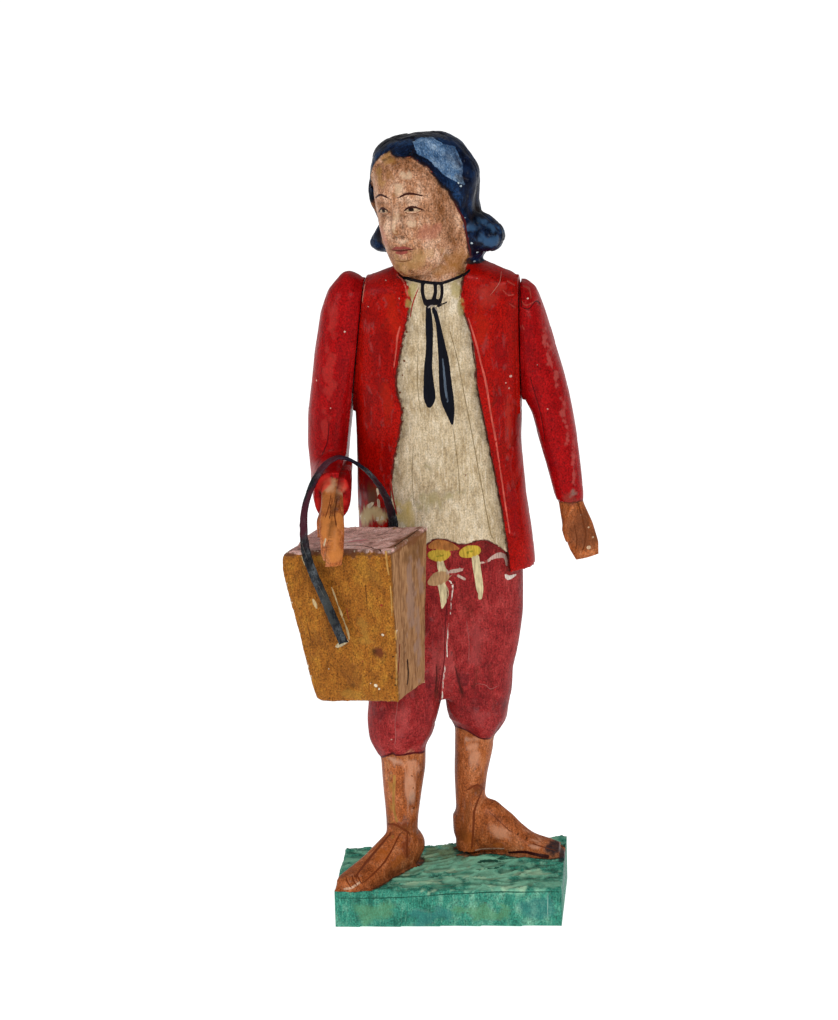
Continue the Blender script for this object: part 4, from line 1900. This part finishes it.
@dataclass
class RightArm(Arm):
    """The arm that is bent forward, with the cuff's face towards the viewer."""

    SEAM = SEAMS[0]
    HAND = Limb((
        (-19.6, -11.6, 86.8, 1.8, 1.5), (-19.3, -14.4, 86.2, 2, 1.7), (-19, -17.6, 83.8, 2.1, 1.8),
        (-18.8, -21.1, 80.2, 2.2, 1.6), (-18.7, -22.7, 76.6, 2, 1.3), (-18.5, -22.9, 74.2, 1.4, 1),
    ), (1, 0, 0))
    THUMB = Limb((
        (-20.2, -16.2, 84, 0.9, 1), (-21.2, -18.6, 81.4, 0.8, 1), (-21.2, -20.2, 78.9, 0.5, 0.6),
    ), (1, 0, 0))
    PAINTED = strokes("#cfb592", ((-20.1, 78.2, .3), (-19.8, 79.4, .3)))
    TOUCHES = (
        *dots("#e0c4b4", (-17.3, 113.5, .35), (-21.5, 118, .25), (-23, 104, .25), (-20.4, 99, .22)),
        *strokes("#b8443c", ((-23.6, 108, .12), (-24, 103, .16))),
    )
    LINES = (
        *strokes("#6c3518",
            ((-19.2, 86, .19), (-19.4, 84.6, .19), (-19.9, 83, .19)),
            ((-18.1, 85.1, .26), (-18.3, 83.3, .26), (-17.9, 81.7, .26)), relief=-0.1),
        *strokes("#5a0c12", ((-20.8, 96, .16), (-21.2, 92.4, .2), (-22.8, 89, .16))),
    )
    STAINS = (
        *patches("#b06a34", (-19.2, 84.6, 1.8, 2.2), y=-17, deep=4, strength=0.6, ragged=1),
        *patches("#c47a3c",
            (-18.6, 80.6, 1.9, 3.8), (-18.4, 76, 1.7, 2), y=-22, deep=5, strength=0.75, ragged=1),
        *patches("#d0a07c", (-19.7, 87.3, 1.5), (-17.9, 86.4, 1.2), y=-14.5, deep=3, strength=0.6),
        *patches("#cc2a22",
            (-21.9, 83.4, 1.8), (-20.5, 87.2, 1.8), (-17.4, 83.6, 1.4), (-17, 87, 1.4), y=-14, deep=1.6,
            strength=0.8),
        *patches("#6e0810",
            (-22.4, 100, 1.2, 5), (-18, 108, 1, 5), (-22.8, 90, 1, 3), strength=0.4, ragged=1),
        *patches("#b23a34",
            (-20.4, 106, 1.2, 5), (-19.6, 116, 1.4, 3), (-21.4, 95.4, 1, 3), strength=0.35, ragged=1),
    )

    def at_hand(self, points: Array) -> Array:
        """How far points lie inside the bare hand."""
        inside = np.maximum(self.HAND.inside(points), self.THUMB.inside(points)) + 0.3
        return np.minimum(np.maximum(inside, -14.2 - points[:, 1]), -13.55 - points[:, 1])


@dataclass
class LeftArm(Arm):
    """The arm that hangs, with a flat open hand."""

    SEAM = SEAMS[1]
    TOUCHES = (
        *strokes("#a83c32",
            ((15.6, 121.2, .2), (16.8, 120.6, .24), (17.2, 119.2, .2)),
            ((15.5, 118.8, .2), (16.2, 118, .26), (17.6, 118.4, .2)),
            ((15.4, 114.6, .2), (15.9, 113.6, .24))),
        *dots("#c9a888", (25.9, 77.9, .31), (27.2, 75.5, .31), (28, 73.6, .31), (27.2, 71.8, .77)),
        *dots("#e0c0b0", (16.6, 119.2, .3), (20, 98.6, .25), (18.2, 107, .22)),
    )
    LINES = (
        *strokes("#500a0e",
            ((15.2, 120.3, .2), (15.5, 117.8, .2)),
            ((15.9, 117.5, .2), (16.8, 117.3, .2), (18, 118.4, .2), (18.7, 117.6, .2)),
            ((17, 104, .14), (18.6, 98, .18), (19.4, 92, .14)), relief=-0.1),
        *strokes("#6a3417",
            ((25.2, 80.2, .23), (25.8, 78.5, .27), (26.3, 76.4, .31), (26.7, 74.5, .27), (26.5, 72.6, .23),
                (26.1, 71.4, .38)),
            ((24.6, 76, .16), (25, 73.4, .2), (24.8, 71.6, .2)), relief=-0.1),
    )
    STAINS = (
        *patches("#7a3a30", (23.9, 81, 1.6), strength=0.5),
        *patches("#70766a", (24.4, 82.2, .9), strength=0.6),
        *patches("#643822", (25.6, 75.6, 4.4), ragged=0.9),
        *patches("#6e0810",
            (16.6, 112, 1, 4), (20.4, 90, 1.2, 5), (18, 101, 0.9, 5), strength=0.4, ragged=1),
        *patches("#b85a52",
            (19.6, 112, .5, 2.6), (20.6, 108.2, .7, 3), (21.6, 104, .5, 2.4), (22.9, 98.4, .7, 2.6),
            (23.5, 93.6, .4, 3), (24.6, 87.6, .4, 3.6), strength=0.45, ragged=1.1),
    )

    def carve(self, skin: Skin) -> None:
        """Adds the lumps of glue under the shoulder's paint."""
        super().carve(skin)
        x, _, z = skin.points.T
        lumps = ((15.7, 120.9, 0.9), (17.3, 119.9, 0.9), (16.2, 118.4, 0.6))
        skin.move(sum(0.18 * bell((x - a) / reach, (z - b) / reach) for a, b, reach in lumps))

    def at_hand(self, points: Array) -> Array:
        """How far points lie inside the bare hand."""
        return 80.45 - points[:, 2]


@dataclass
class Pail(Carving):
    """The wooden pail."""

    WIDTHS = (22.3, 16.3)
    DEPTHS = (17.7, 12.9)
    HEIGHT = 29.6
    KNIFE = ToolMarks((5, 5, 5), 0, -0.06)
    DENTS = ((4.7, -19.6, 0.9, 0.4), (-0.6, -26.4, 0.6, 0.3), (7.6, -24.6, 0.4, 0.3))
    PAINTED = (
        *strokes("#c4aa7c",
            ((-19.4, 69.4, .12), (-19, 68.2, .34), (-18.2, 65.6, .22), (-17.8, 64.4, .5), (-17.2, 62.6, .2),
                (-16.7, 61, .44), (-16.4, 59.4, .3)),
            ((-24.9, 74.8, .2), (-24.3, 73.2, .3)),
            ((-23, 66.5, .4), (-22.7, 65.7, .75), (-22.4, 64.9, .3))),
        *strokes("#cdbc98", ((-18.9, 57.6, .5), (-18, 58.2, .9), (-16.8, 58.9, .5))),
        *dots("#ddd0b8",
            (-11.7, 50.6, .65), (-11.1, 50, .4), (-12.7, 50.9, .22), (-10, 60.8, .52), (-7.5, 61.5, .39),
            (-20.6, 53, .22), (-14.2, 72, .2)),
        *dots("#8c3420", (-10, 66.6, .45), (-14, 55.2, .25)),
        *strokes("#8c3420", ((-16.7, 65.4, .2), (-16.3, 63.1, .2))),
        *dots("#2a160a", (-7.75, 52.1, .42), (-7.95, 51, .36), (-8.2, 56.6, .3)),
        *strokes("#b88a48",
            ((-8.8, 77.2, .4), (-8.6, 74.3, .32), (-8.4, 72.6, .2)),
            ((-8.2, 70.4, .2), (-8.1, 67.6, .28), (-8.1, 64.6, .2)), ((-7.6, 61.7, .28), (-7.5, 59.9, .2)),
            ((-7.6, 57.1, .22), (-7.7, 52.8, .26), (-7.8, 51, .2))),
        *strokes("#c8a494",
            ((-24, -12, .5), (-20, -11, .7), (-15, -9.4, .4)),
            ((-22, -15, .4), (-16, -13.6, .8), (-11, -12, .4)), ((-14.5, -6.7, .9), (-12.6, -7.2, .5)),
            seen=Seen.TOP),
    )
    LINES = (
        *strokes("#4a2a12", ((-24.4, 62, .1), (-23.8, 58.4, .12)), ((-12.9, 70, .1), (-12.7, 66.4, .12))),
        *strokes("#6a2a18", ((-7, 58.6, .2), (-7.2, 55.7, .2), (-7.4, 53.2, .2))),
        *strokes("#2e1a10", ((-6, 54.5, .25), (-5.9, 51.8, .25), (-6.1, 49.9, .25))),
        *strokes("#3a2418",
            ((-16.7, -15.2, .3), (-12.8, -17.9, .34), (-9.8, -22.9, .34)),
            ((-7.5, -20.5, .3), (-6, -15.8, .34), (-4, -9.2, .3)), seen=Seen.TOP),
    )
    STAINS = (
        *patches("#5e2a16", (-10.6, 57, 1.2), y=-20, strength=0.9),
        *patches("#6b3f1a",
            (-22.6, 58, 1.6, 3), (-16, 52, 1.6, 2.4), (-11.4, 72, 2, 2.6), y=-20, strength=0.35,
            ragged=1.3),
        *patches("#a07a34",
            (-13.4, 61, 1.6, 3), (-20.4, 74.6, 2, 1.2), (-17, 48.6, 2.2, 1.2), y=-20, strength=0.35,
            ragged=1.3),
        Stain("#64401f", (-5, -11, 75), (3, 7, 2.6), 0.55, 1.4),
        *(
            Stain("#94786a", (-5.5, y, z), (3, 1.6, tall), 0.6, 1.1)
            for y, z, tall in (
                (-15.4, 66, 9), (-12.4, 58, 8), (-11, 70, 6)
            )
        ),
        *(
            Stain("#5e3c24", (-5, y, z), (3, 0.5, tall), 0.5, 1.4)
            for y, z, tall in (
                (-18.6, 60, 6), (-13.8, 70, 6), (-9, 62, 9)
            )
        ),
        Stain("#74492c", (11.5, -0.6, 0), (3, 9.5, 1.4), 0.9, 0.8, PAIL),
        Stain("#5e3824", (1, -8.5, 0), (11, 1.2, 1), 0.85, 1.2, PAIL),
        Stain("#c0606c", (1.6, -0.6, 0), (2.2, 1.1, 1), 0.7, 1.2, PAIL),
    )

    def carve(self, skin: Skin) -> None:
        """Rounds two corners, makes the wood a little uneven and gives it a grain."""
        noise = self.noise
        self.round_corner(skin, 0.0, 2.6)
        self.round_corner(skin, self.HEIGHT, 1.6)
        local = PAIL.local(skin.points)
        height = 0.14 * noise.soft(local, (6, 6, 9)) + 0.07 * noise.rough(local, (0.9, 0.9, 7))
        height += self.KNIFE.height(noise, local)
        aside = fade(0.3, 0.9, -skin.normals() @ PAIL.matrix()[:, 0])
        height += 0.12 + 0.45 * fade(-7.5, -8.5, local[:, 0]) * fade(-1, -4, local[:, 2]) * aside
        for x, z, reach, deep in self.DENTS:
            height -= deep * bell((local[:, 0] - x) / reach, (local[:, 2] - z) / reach) * (local[:, 1] < 0)
        skin.move(height)

    def half(self, sizes: tuple[float, float], local: Array) -> Array:
        """Half the pail's width or depth at each point's height, from the sizes at its top and foot."""
        down = np.clip(-local[:, 2] / self.HEIGHT, 0, 1)
        return 0.5 * (sizes[0] + (sizes[1] - sizes[0]) * down)

    def round_corner(self, skin: Skin, level: float, radius: float) -> None:
        """Rounds the corner on the figure's right side.

        Args:
            skin: The skin to move.
            level: How far the corner lies below the top, 0 or the pail's height.
            radius: The radius of the round.
        """
        local = PAIL.local(skin.points)
        half = self.half(self.WIDTHS, local)
        u, v = radius - (local[:, 0] + half), radius - np.abs(local[:, 2] + level)
        reach = np.hypot(u, v)
        near = (u > 0) & (v > 0) & (reach > radius) & (local[:, 1] < 1)
        share = (1 - radius / np.maximum(reach, 1e-6)) * near * fade(1, -3, local[:, 1])
        local[:, 0] += u * share
        local[:, 2] += v * share * (-1 if level == 0 else 1)
        skin.points[near] = PAIL.world(local)[near]

    def areas(self, points: Array) -> dict[str, Array]:
        """The painted front and the top; the sides are raw."""
        local = PAIL.local(points)
        behind = local[:, 1] + self.half(self.DEPTHS, local)
        return {"at_front": 0.45 - behind, "at_top": np.minimum(local[:, 2] + 0.75, behind)}

    def material(self) -> bpy.types.Material:
        """Ochre paint in front, a greyish top and raw sides."""
        box = PaintBox("old_paint_and_wood_of_the_pail")
        box.wood("#ac8058", "#70492c")
        box.lay(PaintArea(Coatings.PAIL, "at_front", 0.5, "#5a3a1c", 0.6))
        box.lay(PaintArea(Coatings.PAIL_TOP, "at_top", 0.3, "#4a2c1c", 0.6))
        box.stains()
        box.marks()
        box.age(0.4, 0.6)
        return box.finish(0.02, 0.35)


@dataclass
class Strap(Carving):
    """The leather strap of the pail."""

    STAINS = (
        Stain("#4c1624", (-22, -14, 84), (5, 7, 8), 0.7, 1.2),
        Stain("#14142a", (-17, -12, 90), (5, 5, 4), 0.6, 1.2),
        Stain("#3c1220", (-11, -6, 82), (4, 6, 7), 0.6, 1.2),
        Stain("#484c4a", (-20.6, -21, 66), (2, 3, 5), 0.4, 1.3),
    )
    LINES = strokes("#5c5650", ((-24.9, 78, .08), (-23.6, 75, .1)), ((-21.6, 70, .08), (-20.6, 68, .1)))

    def carve(self, skin: Skin) -> None:
        """Wrinkles the leather a little."""
        skin.move(0.03 + 0.09 * self.noise.rough(skin.points, 1.0))

    def material(self) -> bpy.types.Material:
        """Old dark leather."""
        box = PaintBox("old_leather_of_the_strap")
        box.lay(PaintArea(Coatings.STRAP))
        box.stains()
        box.marks()
        box.age(0.3, 0.4)
        return box.finish(0.04, 0.4)


# The place where it is photographed


@dataclass(frozen=True)
class Studio:
    """The camera of the photograph, a pale floor and soft light.

    Attributes:
        azimuth: How far the camera stands to the figure's left, in degrees.
        elevation: How far it looks down, in degrees.
        roll: How far it is turned about its own line of sight, in degrees.
        lens: Its focal length in millimetres on a 36 mm sensor.
        target: What it looks at, in metres.
        distance: How far away it is, in metres.
    """

    azimuth: float = 5.0
    elevation: float = 15.0
    roll: float = 1.5
    lens: float = 131.65
    target: tuple[float, float, float] = (-0.00461, 0.0, 0.07859)
    distance: float = 0.7

    def build(self) -> None:
        """Sets the floor, the lights and the camera up."""
        self.floor()
        self.lights()
        self.camera()
        settings = bpy.context.scene.view_settings
        settings.view_transform = "Standard"
        settings.look = "None"

    def floor(self) -> None:
        """Lays a wide pale floor."""
        bpy.ops.object.select_all(action="DESELECT")
        bpy.ops.mesh.primitive_plane_add(size=8.0, location=(0.0, 0.0, -0.0002))
        floor = bpy.context.object
        floor.name = "floor"
        material = bpy.data.materials.new("pale_floor")
        material.use_nodes = True
        shader = material.node_tree.nodes["Principled BSDF"]
        shader.inputs["Base Color"].default_value = (0.8, 0.8, 0.8, 1.0)
        shader.inputs["Roughness"].default_value = 0.9
        shader.inputs["Specular IOR Level"].default_value = 0.1
        shader.inputs["Emission Strength"].default_value = 1.0
        net = Net(material.node_tree)
        behind = net.node("SeparateXYZ", {0: net.node("TexCoord").outputs["Object"]}).outputs[1]
        glow = net.blend(net.sweep(behind, -0.3, -0.08), (0.12, 0.12, 0.12, 1), (0.78, 0.78, 0.78, 1))
        net.feed(shader.inputs["Emission Color"], glow)
        floor.data.materials.append(material)

    def lights(self) -> None:
        """Hangs two large soft lights in a white room."""
        world = bpy.data.worlds.new("white_room")
        world.use_nodes = True
        world.node_tree.nodes["Background"].inputs["Color"].default_value = (1.0, 1.0, 1.0, 1.0)
        world.node_tree.nodes["Background"].inputs["Strength"].default_value = 0.38
        bpy.context.scene.world = world
        self.soft_box("key", (0.3, -0.9, 0.66), 0.3, 5.7)
        self.soft_box("side", (-0.75, -0.35, 0.5), 0.3, 1.8)

    def soft_box(self, name: str, place: Sequence[float], size: float, power: float) -> None:
        """Hangs a square light that faces the figure.

        Args:
            name: Its name.
            place: Where it hangs, in metres.
            size: Its width and height in metres.
            power: Its power in watts.
        """
        bpy.ops.object.light_add(type="AREA", location=place)
        light = bpy.context.object
        light.name = name
        light.data.size = size
        light.data.energy = power
        away = Vector(place) - Vector(self.target)
        light.rotation_euler = away.to_track_quat("Z", "Y").to_euler()

    def camera(self) -> None:
        """Puts the camera where the photograph was taken from."""
        a, e, r = (math.radians(v) for v in (self.azimuth, self.elevation, self.roll))
        right = Vector((math.cos(a), math.sin(a), 0.0))
        ahead = Vector((-math.sin(a) * math.cos(e), math.cos(a) * math.cos(e), -math.sin(e)))
        up = right.cross(ahead)
        right, up = right * math.cos(r) - up * math.sin(r), right * math.sin(r) + up * math.cos(r)
        data = bpy.data.cameras.new("camera")
        data.lens = self.lens
        data.sensor_width = 36.0
        data.clip_start, data.clip_end = 0.05, 30.0
        camera = bpy.data.objects.new("camera", data)
        bpy.context.scene.collection.objects.link(camera)
        turned = Matrix((right, up, -ahead)).transposed().to_4x4()
        place = Vector(self.target) - ahead * self.distance
        camera.matrix_world = Matrix.Translation(place) @ turned
        bpy.context.scene.camera = camera


def main() -> None:
    """Builds the pieces and the studio and notes both sizes."""
    logging.basicConfig(level=logging.INFO)
    for carving in (
        Figure("figure", "painted_figure", 0.25, 194_000, 11),
        RightArm("right_arm", "painted_right_arm", 0.2, 110_000, 23),
        LeftArm("left_arm", "painted_left_arm", 0.2, 90_000, 31),
        Pail("pail", "pail_wood", 0.25, 100_000, 47),
        Strap("pail_strap", "strap_leather", 0.15, 60_000, 59),
    ):
        carving.build()
    Studio().build()


if __name__ == "__main__":
    main()
